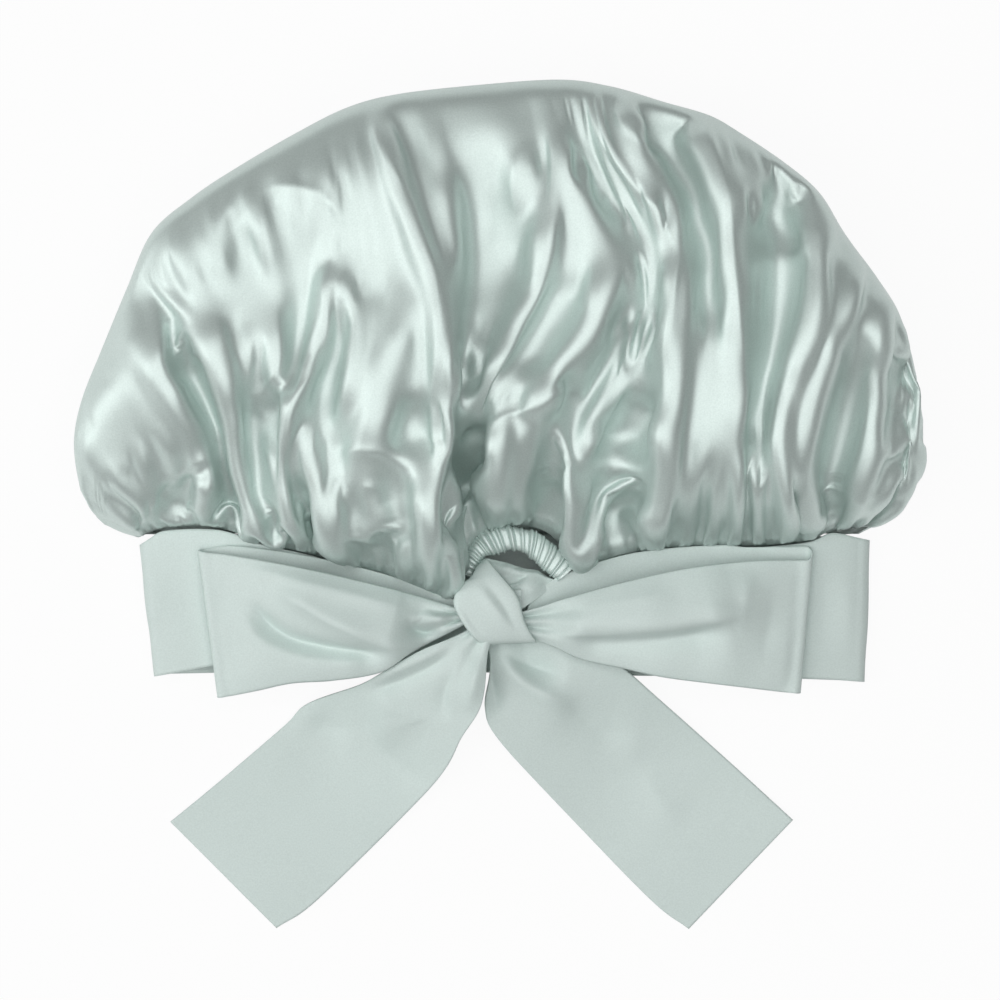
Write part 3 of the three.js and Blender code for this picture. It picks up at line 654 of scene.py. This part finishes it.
def crown_front():
    """The crown's front, settled on a coarse grid and then on a fine one."""
    grid = None
    for columns, rows, rounds, bending in CROWN_LEVELS:
        base, from_seam = crown_plain(columns, rows)
        fixed = FIXED_COLUMNS * columns // CROWN_LEVELS[0][0]
        inner = slice(fixed, -fixed)
        if grid is None:
            grid = crown_creased(base, from_seam)
            fold_slack = blur(longer_across(grid[:, inner], base[:, inner]), SLACK_BLUR)
        else:
            grid = base + resample(grid - coarse, rows, columns)
        calm = mix(CALM_SHARE, 1.0, smooth((base[0, inner, 0] - CALM_X) / CALM_FADE))
        gathered = SEAM_SLACK * calm[None] * np.exp(-from_seam[:, inner] / SEAM_REACH)
        slack = SLACK_SCALE * resample(fold_slack, *gathered.shape) + gathered
        grid[:, inner] = settle(grid[:, inner], base[:, inner], slack, rounds, bending)
        coarse = base
    creases = [
        (crest, CREASE_HEIGHT, CREASE_WIDTH, CREASE_WIDTH, CREASE_WIDTH / 3)
        for crest, height, west, east, radius in CROWN_FOLDS
        if height > 0 and radius < CREASE_RADIUS
    ]
    fade = smooth(from_seam / CREASE_FADE) * smooth((from_seam[-1] - from_seam) / CREASE_FADE)
    grid += grid_normals(grid) * (fade * fold_field(grid[..., :2], creases))[..., None]
    return grid


def crown_grid():
    """The crown's front and its back, which lies on the table behind a rounded turn at the rim."""
    front = crown_front()
    rim = front[-1]
    columns = len(rim)
    back_x = np.linspace(-BAND_HALF_WIDTH, BAND_HALF_WIDTH, columns)
    back = np.stack([back_x, np.full(columns, SEAM_Y)], axis=1)
    under = even(CROWN_BACK_ROWS + 1)[1:] ** BACK_ROW_SPREAD
    under_xy = mix(rim[None, :, :2], back[None], under[:, None, None])
    away = under[:, None] * np.linalg.norm(rim[:, :2] - back, axis=1)[None]
    turn = np.clip(1.0 - away / CROWN_ROUNDING, 0.0, 1.0)
    low = SATIN_THICKNESS / 2 + TABLE_GAP
    under_z = low + (rim[None, :, 2] - low) * (1.0 - np.sqrt(1.0 - turn**2))
    # Folds that run down the wall under the rim, all inward so that the outline stays
    run = length_along(rim[:, :2])
    inward = back - rim[:, :2]
    inward /= np.maximum(np.linalg.norm(inward, axis=1), 1e-6)[:, None]
    ends = smooth(np.minimum(run, run[-1] - run) / WALL_END_FADE)
    wave = 0.5 + 0.35 * wavy(np.stack([run, np.zeros_like(run)], axis=1), WALL_FOLD_SPACING, 17)
    depth = WALL_FOLD_DEPTH * ends * np.clip(wave, 0.0, 1.0)
    wall = np.sin(np.pi * np.clip(away / CROWN_ROUNDING, 0.0, 1.0) ** 0.35) * (turn > 0.0)
    under_xy += inward[None] * (depth[None] * wall)[..., None]
    return np.concatenate([front, np.concatenate([under_xy, under_z[..., None]], axis=2)], axis=0)


crown = sheet_object("crown_satin", crown_grid(), SATIN_THICKNESS, SATIN)
on_cap(crown, "crown")


# Strips: the band, the loops and the tails

STRIP_LOW = STRIP_THICKNESS / 2 + TABLE_GAP  # height of a strip's middle where it lies on the table
TURN_COLUMNS = 9  # round a fold of the strip
BAND_LIFT_HALF_WIDTH = BAND_HALF_WIDTH + 2.0

# Height and wavelength of the slight waves in the strips
BAND_WAVE = (0.25, 30.0)
LOOP_WAVE = (0.2, 26.0)
TAIL_WAVE = (0.3, 42.0)
TAIL_WAVE_START = 40.0


def slight_waves(xy, wave, seed):
    height, wavelength = wave
    return height * wavy(xy, wavelength, seed)


def band_lift(x, y):
    """Height of the band's front layer over the table."""
    across = np.sqrt(np.clip(1.0 - (x / BAND_LIFT_HALF_WIDTH) ** 2, 0.0, 1.0)) ** 0.8
    share = np.clip((SEAM_Y - y) / BAND_HEIGHT, 0.0, 1.0)
    return mix(BAND_FOLD_LIFT, mix(BAND_SEAM_LIFT, BAND_HEM_LIFT, share), across)


def between(first, second, rows, columns):
    """Grid of x, y from one edge to the other, each given in photograph pixels."""
    a = spline(place(first), columns)
    b = spline(place(second), columns)
    return mix(a[None], b[None], even(rows)[:, None, None])


def raise_grid(xy, z):
    """A grid of x, y with its heights added."""
    return np.concatenate([xy, np.broadcast_to(z, xy.shape[:2])[..., None]], axis=2)


def turn_over(front, back):
    """Columns that carry a strip round its fold, from the last column of front to the last of back."""
    a, b = front[:, -1], back[:, -1]
    out = front[:, -1] - front[:, -4]
    out[:, 2] = 0.0
    out /= np.linalg.norm(out, axis=1)[:, None]
    radius = np.abs(a[:, 2] - b[:, 2])[:, None] / 2.0
    columns = []
    for share in even(TURN_COLUMNS + 2)[1:-1]:
        angle = math.pi * share
        middle = mix(a, b, (1.0 - math.cos(angle)) / 2.0)
        columns.append(middle + out * radius * math.sin(angle))
    return np.stack(columns, axis=1)


# The band's edges, from the outer fold inwards; the back's from left to right
LEFT_BAND_TOP = [
    (150, 538), (164, 531), (206, 529), (232, 533), (265, 545), (306, 554), (349, 566), (385, 575),
    (423, 590), (455, 602),
]
LEFT_BAND_HEM = [
    (165, 675), (186, 671), (212, 666), (265, 658), (306, 650), (349, 640), (385, 632), (423, 622),
    (455, 612),
]
RIGHT_BAND_TOP = [
    (860, 538), (832, 533), (809, 542), (763, 547), (725, 549), (669, 551), (623, 557), (595, 566),
    (577, 572), (548, 585),
]
RIGHT_BAND_HEM = [
    (856, 682), (832, 680), (802, 678), (740, 668), (690, 655), (640, 642), (600, 628), (577, 618),
    (548, 605),
]
BACK_TOP = [(150, 537), (260, 534), (500, 533), (740, 534), (860, 538)]
BACK_HEM = [
    (165, 675), (213, 674), (330, 671), (500, 674), (640, 677), (671, 677), (770, 679), (856, 682),
]
BAND_FOLDS = [
    ([(150, 560), (156, 600), (158, 640)], 0.8, 5, 9, 1.5),
    ([(180, 560), (186, 610), (190, 650)], -0.9, 8, 8, 1.5),
    ([(842, 560), (848, 610), (846, 660)], 0.7, 6, 6, 1.5),
    ([(826, 560), (824, 620), (820, 660)], -0.7, 6, 6, 1.5),
]


def band_side(top, hem, rows):
    """One side of the band's front, from its inner end out to its fold."""
    xy = between(top, hem, rows, 110)[:, ::-1]
    z = band_lift(xy[..., 0], xy[..., 1]) + fold_field(xy, BAND_FOLDS) + slight_waves(xy, BAND_WAVE, 21)
    return raise_grid(xy, z)


def band_grid():
    """The band: its left front, its back on the table and its right front, turned over at both sides."""
    rows = 46
    left = band_side(LEFT_BAND_TOP, LEFT_BAND_HEM, rows)
    right = band_side(RIGHT_BAND_TOP, RIGHT_BAND_HEM, rows)
    rear = raise_grid(between(BACK_TOP, BACK_HEM, rows, 150), STRIP_LOW)
    left_turn = turn_over(left, rear[:, :1])
    right_turn = turn_over(right, rear)
    return np.concatenate([left, left_turn, rear, right_turn[:, ::-1], right[:, ::-1]], axis=1)


band = sheet_object("band_strip", band_grid(), STRIP_THICKNESS, DULL_SATIN)
on_cap(band, "head_band")


# The loops' edges, from the knot outwards
LEFT_LOOP = {
    "front_top": [(466, 609), (454, 607), (385, 587), (309, 569), (237, 556), (205, 552)],
    "front_low": [
        (466, 622), (440, 636), (410, 652), (381, 671), (334, 679), (293, 682), (257, 690), (224, 697),
    ],
    "back_top": [(466, 602), (454, 599), (385, 574), (309, 556), (237, 546), (205, 549)],
    "back_low": [
        (466, 620), (440, 634), (410, 648), (381, 664), (334, 672), (293, 678), (257, 686), (224, 695),
    ],
    "folds": [
        ([(270, 585), (300, 600), (334, 620), (385, 643), (425, 646)], 4.0, 3.0, 14.0, 1.5),
        ([(247, 598), (283, 633), (321, 645), (360, 650), (402, 651)], -4.0, 7.0, 2.5, 1.5),
        ([(237, 602), (262, 640), (320, 660), (385, 660)], 2.0, 8.0, 5.0, 1.5),
        ([(409, 612), (411, 624), (424, 632), (446, 629)], -3.0, 2.0, 2.0, 1.5),
        ([(420, 610), (436, 618), (456, 616)], 2.0, 3.0, 2.0, 1.5),
        ([(222, 560), (232, 620), (240, 680)], -1.2, 8.0, 8.0, 1.5),
        ([(240, 566), (330, 588), (420, 612)], 1.2, 4.0, 3.0, 1.5),
    ],
}
RIGHT_LOOP = {
    "front_top": [(520, 612), (545, 605), (567, 598), (623, 582), (687, 568), (751, 561), (806, 560)],
    "front_low": [(522, 634), (554, 645), (582, 658), (623, 667), (664, 676), (725, 684), (794, 693)],
    "back_top": [
        (528, 606), (546, 584), (577, 569), (623, 555), (669, 548), (725, 545), (748, 547), (806, 546),
    ],
    "back_low": [(522, 634), (554, 643), (582, 655), (623, 664), (664, 672), (725, 680), (794, 691)],
    "folds": [
        ([(545, 630), (567, 632), (610, 631), (674, 625), (725, 616), (748, 610)], 3.2, 2.0, 12.0, 1.5),
        ([(560, 637), (610, 638), (674, 634), (730, 624)], -3.0, 8.0, 2.5, 1.5),
        ([(752, 566), (744, 590), (742, 612), (738, 640)], 2.0, 12.0, 7.0, 1.5),
        ([(775, 575), (768, 620), (760, 670)], -1.2, 10.0, 10.0, 1.5),
        ([(540, 612), (600, 604), (680, 590)], 0.9, 8.0, 6.0, 1.5),
        ([(536, 618), (560, 612), (590, 606)], -0.8, 3.0, 3.0, 1.5),
    ],
}
CREASE_SCALE = 2.2  # of the strips' creases, over the heights read off the photograph
LOOP_PUFF = 10.0
LOOP_FOLD_GAP = 4.4  # between the two layers at the outer fold
LOOP_ROOT_GAP = 3.4
LOOP_LEAST_GAP = 0.4  # clear between the two layers
LOOP_BAND_GAP = 0.5  # clear of the band
LOOP_LOWEST = 14.0
LOOP_ROOT_DROP = 2.0  # below the knot's middle
LOOP_ROOT_SHARE = 0.22  # of a loop's length, over which it opens from the knot
LOOP_PLEAT_HEIGHT = 1.5


def loop_grid(shape, seed):
    """A loop of strip: its front from the knot out, turned over at the fold, and its back."""
    rows, columns = 64, 150
    front = between(shape["front_top"], shape["front_low"], rows, columns)
    back = between(shape["back_top"], shape["back_low"], rows, columns)
    out = even(columns)[None]
    down = even(rows)[:, None]
    root = smooth(out / LOOP_ROOT_SHARE)
    floor = band_lift(back[..., 0], back[..., 1]) + STRIP_THICKNESS + LOOP_BAND_GAP
    back_z = mix(KNOT_Z - LOOP_ROOT_DROP, np.maximum(floor, LOOP_LOWEST), root)
    gap = LOOP_FOLD_GAP + LOOP_PUFF * np.sin(np.pi * np.clip(out, 0.0, 1.0)) ** 0.8
    gap = gap * (0.55 + 0.45 * np.sin(np.pi * np.clip(down * 0.9 + 0.1, 0.0, 1.0)) ** 0.7)
    gap = mix(LOOP_ROOT_GAP, gap, root)
    # Gathers that run out of the knot
    pleats = np.sin(down * 5.0 * np.pi + 0.7 + seed) * np.exp(-out / 0.16) * LOOP_PLEAT_HEIGHT
    folds = CREASE_SCALE * fold_field(front, shape["folds"]) + slight_waves(front, LOOP_WAVE, seed)
    front_z = back_z.mean(axis=0, keepdims=True) * 0.5 + back_z * 0.5
    front_z = front_z + gap + pleats + folds * smooth(out / 0.06)
    front_z = np.maximum(front_z, back_z + STRIP_THICKNESS + LOOP_LEAST_GAP)
    front_z = mix(back_z + LOOP_FOLD_GAP, front_z, smooth((1.0 - out) / 0.05))
    front, back = raise_grid(front, front_z), raise_grid(back, back_z)
    return np.concatenate([front, turn_over(front, back), back[:, ::-1]], axis=1)


# For each side: the shape, the sign of x, the seed and the strip's flat length
LOOPS = {"left": (LEFT_LOOP, -1.0, 31, 0.20), "right": (RIGHT_LOOP, 1.0, 32, 0.21)}
for side, (shape, sign, seed, flat_length) in LOOPS.items():
    loop = sheet_object(f"bow_loop_{side}", loop_grid(shape, seed), STRIP_THICKNESS, DULL_SATIN)
    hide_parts(f"{side}_loop")
    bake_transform(loop)


# The tails' edges, from the knot outwards, and the height at which each leaves the knot
LEFT_TAIL = {
    "upper": [
        (472, 626), (462, 633), (421, 650), (381, 673), (357, 686), (306, 705), (283, 727), (219, 782),
        (168, 824),
    ],
    "lower": [(492, 636), (487, 653), (484, 690), (478, 712), (462, 737), (431, 788), (319, 900), (275, 931)],
    "folds": [
        ([(462, 636), (434, 652), (400, 668), (357, 688)], 1.6, 2.5, 2.0, 1.5),
        ([(466, 640), (440, 660), (405, 678), (360, 694)], -1.2, 3.0, 2.0, 1.5),
        ([(468, 645), (456, 668), (450, 691), (452, 722)], 2.2, 4.0, 3.0, 1.5),
        ([(463, 650), (447, 690), (446, 725)], -2.2, 3.0, 3.0, 1.5),
        ([(482, 650), (474, 680), (468, 715)], 2.0, 3.0, 4.0, 1.5),
        ([(402, 680), (386, 704), (384, 730), (398, 757)], 1.6, 4.0, 12.0, 3.0),
        ([(376, 690), (370, 716), (378, 748), (408, 774), (440, 780)], -1.2, 9.0, 6.0, 3.0),
        ([(306, 712), (330, 728), (355, 734)], -1.0, 7.0, 5.0, 1.5),
    ],
    "root": 27.0,
}
RIGHT_TAIL = {
    "upper": [(556, 632), (590, 650), (623, 668), (661, 701), (725, 758), (795, 822)],
    "lower": [(484, 640), (490, 655), (489, 679), (485, 707), (495, 735), (546, 793), (649, 900), (690, 932)],
    "folds": [
        ([(490, 648), (505, 662), (530, 686), (580, 712)], 2.4, 4.0, 5.0, 1.5),
        ([(500, 645), (513, 657), (536, 668), (570, 676)], -2.6, 4.0, 5.0, 1.5),
        ([(492, 660), (494, 690), (500, 720)], -1.5, 3.0, 3.0, 1.5),
        ([(560, 700), (600, 730), (640, 740)], -1.2, 9.0, 9.0, 1.5),
        ([(640, 760), (660, 800), (690, 830)], 0.8, 12.0, 12.0, 1.5),
    ],
    "root": 17.5,
}
TAIL_DROP = 92.0  # along a tail, from the knot to where it lies on the table
TAIL_LIFT = 0.4
TAIL_PLEAT_HEIGHT = 1.2
TAIL_PLEAT_REACH = 16.0


def tail_grid(shape, seed):
    """A tail of strip, which comes down from the knot and lies on the table."""
    rows, columns = 70, 170
    xy = between(shape["upper"], shape["lower"], rows, columns)
    run = length_along(xy[rows // 2])[None]
    fall = 0.5 + 0.5 * np.cos(np.pi * np.clip(run / TAIL_DROP, 0.0, 1.0))
    down = even(rows)[:, None]
    pleats = np.sin(down * 4.0 * np.pi + seed) * np.exp(-run / TAIL_PLEAT_REACH) * TAIL_PLEAT_HEIGHT
    waves = slight_waves(xy, TAIL_WAVE, seed) * smooth(run / TAIL_WAVE_START)
    folds = CREASE_SCALE * fold_field(xy, shape["folds"]) + waves
    z = mix(STRIP_LOW, shape["root"], fall) + pleats + folds + TAIL_LIFT
    return raise_grid(xy, np.maximum(z, STRIP_LOW))


TAILS = {"left": (LEFT_TAIL, -1.0, 41, 0.145), "right": (RIGHT_TAIL, 1.0, 42, 0.14)}
for side, (shape, sign, seed, flat_length) in TAILS.items():
    tail = sheet_object(f"bow_tail_{side}", tail_grid(shape, seed), STRIP_THICKNESS, DULL_SATIN)
    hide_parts(f"{side}_tail")
    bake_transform(tail)


# The knot

WRAP_LEFT = [
    (478, 566), (471, 578), (462, 584), (455, 598), (457, 610), (466, 625), (477, 638), (489, 643),
]
WRAP_RIGHT = [
    (486, 559), (499, 574), (512, 589), (518, 599), (521, 610), (524, 621), (530, 633), (536, 641),
]
WRAP_FOLDS = [
    ([(470, 578), (481, 589), (494, 606), (506, 622), (519, 638)], 1.3, 2.0, 1.2, 1.5),
    ([(478, 572), (492, 590), (504, 606), (514, 624), (526, 638)], -1.0, 1.5, 1.5, 1.5),
    ([(457, 602), (463, 617), (474, 632), (486, 641)], 0.9, 1.5, 1.0, 1.5),
    ([(460, 600), (467, 615), (478, 630), (490, 640)], -0.6, 1.0, 1.5, 1.5),
]
WRAP_TOP = 32.5
WRAP_BOTTOM = 14.5
WRAP_ROUNDNESS = 0.42  # lower is squarer, round the knot
WRAP_CROWNING = 0.20  # share of its height that the turn loses at its edges


def arch(t, power):
    """0 at both ends, 1 in the middle."""
    return np.clip(4.0 * t * (1.0 - t), 0.0, 1.0) ** power


def wrap_grid():
    """The turn of strip round the bow: columns go round the knot, rows across the strip."""
    rows, columns, columns_under = 44, 70, 50
    front = between(WRAP_LEFT, WRAP_RIGHT, rows, columns)
    over = even(columns)[None]
    down = even(rows)[:, None]
    side = (WRAP_TOP + WRAP_BOTTOM) / 2
    rise = arch(over, WRAP_ROUNDNESS)
    z = side + (WRAP_TOP - side) * rise * (1.0 - WRAP_CROWNING + WRAP_CROWNING * arch(down, 0.35))
    upper = raise_grid(front, z + fold_field(front, WRAP_FOLDS) * rise)
    under = even(columns_under + 2)[1:-1][None]
    under_xy = mix(front[:, -1:], front[:, :1], under[..., None])
    under_z = side - (side - WRAP_BOTTOM) * arch(under, WRAP_ROUNDNESS)
    return np.concatenate([upper, raise_grid(under_xy, under_z)], axis=1)


wrap = sheet_object("knot_turn", wrap_grid(), STRIP_THICKNESS, DULL_SATIN, closed=True)
on_cap(wrap, "knot_wrap")


BUNDLE_HALF_LENGTH = 8.5
BUNDLE_HALF_WIDTH = 7.4
BUNDLE_HALF_HEIGHT = 4.4
BUNDLE_WAIST = 0.86  # share of its size that the bundle keeps in its middle


def core_grid():
    """The gathered strips that the turn holds: a pleated bundle along x."""
    rows, columns = 60, 96
    x = np.linspace(-BUNDLE_HALF_LENGTH, BUNDLE_HALF_LENGTH, rows)[:, None]
    turn = np.linspace(0.0, 2 * np.pi, columns, endpoint=False)[None]
    pleat = 1.0 + 0.10 * np.sin(9 * turn + 0.05 * x) + 0.05 * np.sin(17 * turn - 0.08 * x)
    waist = BUNDLE_WAIST + (1.0 - BUNDLE_WAIST) * (np.abs(x) / BUNDLE_HALF_LENGTH) ** 2
    y = KNOT_Y + BUNDLE_HALF_WIDTH * np.cos(turn) * pleat * waist
    z = KNOT_Z + BUNDLE_HALF_HEIGHT * np.sin(turn) * pleat * waist
    return np.stack([np.broadcast_to(x, y.shape), y, z], axis=2)


core = sheet_object("knot_bundle", core_grid(), BUNDLE_THICKNESS, DULL_SATIN, closed=True)
on_cap(core, "knot_core")


HALF_TOP = [
    (478, 566), (485, 559), (493, 560), (506, 563), (515, 566), (524, 569), (537, 571), (545, 576),
    (557, 581),
]
HALF_LOW = [
    (470, 612), (484, 622), (497, 622), (507, 618), (514, 614), (520, 610), (528, 604), (543, 593),
    (556, 583),
]
HALF_FOLDS = [
    ([(538, 572), (526, 581), (514, 591), (504, 600)], 1.2, 1.0, 6.0, 1.5),
    ([(534, 570), (521, 580), (509, 590)], -0.9, 2.0, 0.8, 1.5),
    ([(506, 562), (511, 572)], 0.7, 1.5, 1.5, 1.5),
    ([(520, 567), (518, 578)], 0.6, 1.5, 1.5, 1.5),
    ([(545, 576), (536, 586), (524, 598)], 0.7, 2.0, 2.0, 1.5),
]


HALF_Z = 23.5
HALF_DROP = 4.0  # towards its right end
HALF_EDGE_DROP = 3.0  # where its upper edge rolls down


def half_knot_grid():
    """The first crossing of the strip's ends, behind the turn."""
    rows, columns = 48, 70
    xy = between(HALF_TOP, HALF_LOW, rows, columns)
    z = HALF_Z + CREASE_SCALE * fold_field(xy, HALF_FOLDS) - HALF_DROP * smooth((xy[..., 0] - 8.0) / 15.0)
    down = even(rows)[:, None]
    return raise_grid(xy, z - HALF_EDGE_DROP * (1.0 - smooth(down / 0.12)))


half_knot = sheet_object("half_knot_strip", half_knot_grid(), STRIP_THICKNESS, DULL_SATIN)
on_cap(half_knot, "half_knot")


# Casing and elastic

CASING_OUTER = [
    (462, 573), (466, 556), (472, 543), (481, 533), (491, 528), (505, 525), (519, 527), (530, 530),
    (541, 534), (551, 542), (565, 552), (579, 563),
]
CASING_INNER = [
    (474, 578), (480, 565), (486, 557), (493, 554), (500, 553), (509, 550), (519, 551), (527, 555),
    (534, 561), (541, 568), (549, 574), (558, 581),
]
CASING_DEPTH = 5.2
CASING_Z = 19.8
RUCHES = 80
RUCHE_SPACING = (0.9, 2.7)
RUCHE_SIZE = (0.3, 1.4)
RUCHE_HEIGHT = 0.9
RUCHE_MIDDLE = 0.75
TAPE_HALF_WIDTH = 3.0
TAPE_RIB = 0.08


def squarish(wave):
    """A sine or cosine made a little squarer."""
    return np.sign(wave) * np.abs(wave) ** 0.8


def casing_grid():
    """A ruched tube: rows run along the arch, columns round the tube."""
    rows, columns = 420, 44
    outer = spline(place(CASING_OUTER), rows)
    inner = spline(place(CASING_INNER), rows)
    draw = np.random.default_rng(5)
    along = length_along((outer + inner) / 2)
    marks = sums(draw.uniform(*RUCHE_SPACING, RUCHES))
    turn = np.linspace(0.0, 2 * np.pi, columns, endpoint=False)[None]
    slant = 0.55 * np.cos(turn + 0.6) * draw.uniform(0.6, 1.4)
    phase = np.interp(along[:, None] + slant, marks, np.arange(len(marks)))
    ridge = np.abs(np.sin(np.pi * phase)) ** 0.6
    high = np.interp(phase + 0.5, np.arange(RUCHES + 1), draw.uniform(*RUCHE_SIZE, RUCHES + 1))
    puff = RUCHE_HEIGHT * (ridge * high - RUCHE_MIDDLE)
    middle = (outer + inner)[:, None] / 2
    half = (outer - inner)[:, None] / 2
    size = np.linalg.norm(half, axis=2)
    xy = middle + half * (squarish(np.cos(turn)) * (1.0 + puff / np.maximum(size, 1.0)))[..., None]
    z = CASING_Z + squarish(np.sin(turn)) * (CASING_DEPTH / 2 + puff)
    return raise_grid(xy, z)


casing = sheet_object("casing_ruched", casing_grid(), CASING_THICKNESS, SATIN, closed=True)
on_cap(casing, "elastic_casing")


def tape_grid():
    """The flat elastic along the middle of the casing, with ribs along it."""
    rows, columns = 90, 14
    middle = (spline(place(CASING_OUTER), rows) + spline(place(CASING_INNER), rows)) / 2
    out = np.gradient(middle, axis=0)
    out = np.stack([-out[:, 1], out[:, 0]], axis=1)
    out /= np.linalg.norm(out, axis=1)[:, None]
    across = np.linspace(-TAPE_HALF_WIDTH, TAPE_HALF_WIDTH, columns)[None, :, None]
    xy = middle[:, None] + out[:, None] * across
    ribs = TAPE_RIB * np.sin(np.linspace(0.0, 6 * np.pi, columns))[None]
    return raise_grid(xy, CASING_Z + ribs)


tape = sheet_object("elastic_webbing", tape_grid(), TAPE_THICKNESS, ELASTIC)
on_cap(tape, "elastic_tape")


# Camera, lights and table

# Lamps, in metres: place, width by height and power
LAMPS = {
    "overhead": ((0.0, -0.25, 2.3), (2.8, 2.8), 40.0),
    "left": ((-2.3, -0.1, 1.5), (1.6, 2.4), 28.0),
}
WORLD_STRENGTH = 0.14
TABLE_HALF_SIDE = 4.0
TABLE_Z = -0.0008
TABLE_GREY = 0.86
TABLE_WHITENESS = 0.93  # share of plain white where the table is seen; the rest takes the shadow


def look_down():
    """The camera, straight above the middle of the photograph."""
    camera = bpy.data.cameras.new("camera")
    camera.sensor_width = CAMERA_SENSOR
    camera.lens = CAMERA_SENSOR * (CAMERA_HEIGHT - FOCUS_HEIGHT) / (PHOTO_PX * MM_PER_PX)
    camera.clip_end = 20.0
    obj = bpy.data.objects.new("camera", camera)
    middle = place([(PHOTO_PX / 2, PHOTO_PX / 2)])[0]
    obj.location = (middle[0] * METRES, middle[1] * METRES, CAMERA_HEIGHT * METRES)
    bpy.context.collection.objects.link(obj)
    bpy.context.scene.camera = obj


def softbox(name, location, size, power):
    """A soft lamp that faces the origin."""
    light = bpy.data.lights.new(name, "AREA")
    light.shape = "RECTANGLE"
    light.size, light.size_y = size
    light.energy = power
    obj = bpy.data.objects.new(name, light)
    obj.location = location
    direction = -np.asarray(location)
    yaw = math.atan2(direction[1], direction[0]) - math.pi / 2
    pitch = math.atan2(math.hypot(direction[0], direction[1]), -direction[2])
    obj.rotation_euler = (pitch, 0.0, yaw)
    bpy.context.collection.objects.link(obj)


def table_top():
    """A pale table that rays from the camera, gloss and glass see as white."""
    mesh = bpy.data.meshes.new("table")
    sides = ((-1, -1), (1, -1), (1, 1), (-1, 1))
    corners = [(x * TABLE_HALF_SIDE, y * TABLE_HALF_SIDE, TABLE_Z) for x, y in sides]
    mesh.from_pydata(corners, [], [(0, 1, 2, 3)])
    obj = bpy.data.objects.new("table", mesh)
    bpy.context.collection.objects.link(obj)
    material, nodes, links, shader = new_material("white_table")
    shader.inputs["Base Color"].default_value = (TABLE_GREY, TABLE_GREY, TABLE_GREY, 1)
    shader.inputs["Roughness"].default_value = 0.9
    glow = nodes.new("ShaderNodeEmission")
    glow.inputs["Strength"].default_value = 1.0
    path = nodes.new("ShaderNodeLightPath")
    seen = path.outputs["Is Camera Ray"]
    for ray in ("Is Glossy Ray", "Is Transmission Ray"):
        either = nodes.new("ShaderNodeMath")
        either.operation = "ADD"
        either.use_clamp = True
        links.new(seen, either.inputs[0])
        links.new(path.outputs[ray], either.inputs[1])
        seen = either.outputs["Value"]
    share = nodes.new("ShaderNodeMath")
    share.operation = "MULTIPLY"
    share.inputs[1].default_value = TABLE_WHITENESS
    links.new(seen, share.inputs[0])
    choose = nodes.new("ShaderNodeMixShader")
    links.new(share.outputs["Value"], choose.inputs["Fac"])
    links.new(shader.outputs["BSDF"], choose.inputs[1])
    links.new(glow.outputs["Emission"], choose.inputs[2])
    links.new(choose.outputs["Shader"], nodes["Material Output"].inputs["Surface"])
    obj.data.materials.append(material)


def surroundings():
    """Even white light from all round, and the plain view transform."""
    world = bpy.data.worlds.new("studio")
    world.use_nodes = True
    background = world.node_tree.nodes["Background"]
    background.inputs["Color"].default_value = (1, 1, 1, 1)
    background.inputs["Strength"].default_value = WORLD_STRENGTH
    bpy.context.scene.world = world
    bpy.context.scene.view_settings.view_transform = "Standard"


look_down()
table_top()
surroundings()
for lamp, settings in LAMPS.items():
    softbox(lamp, *settings)
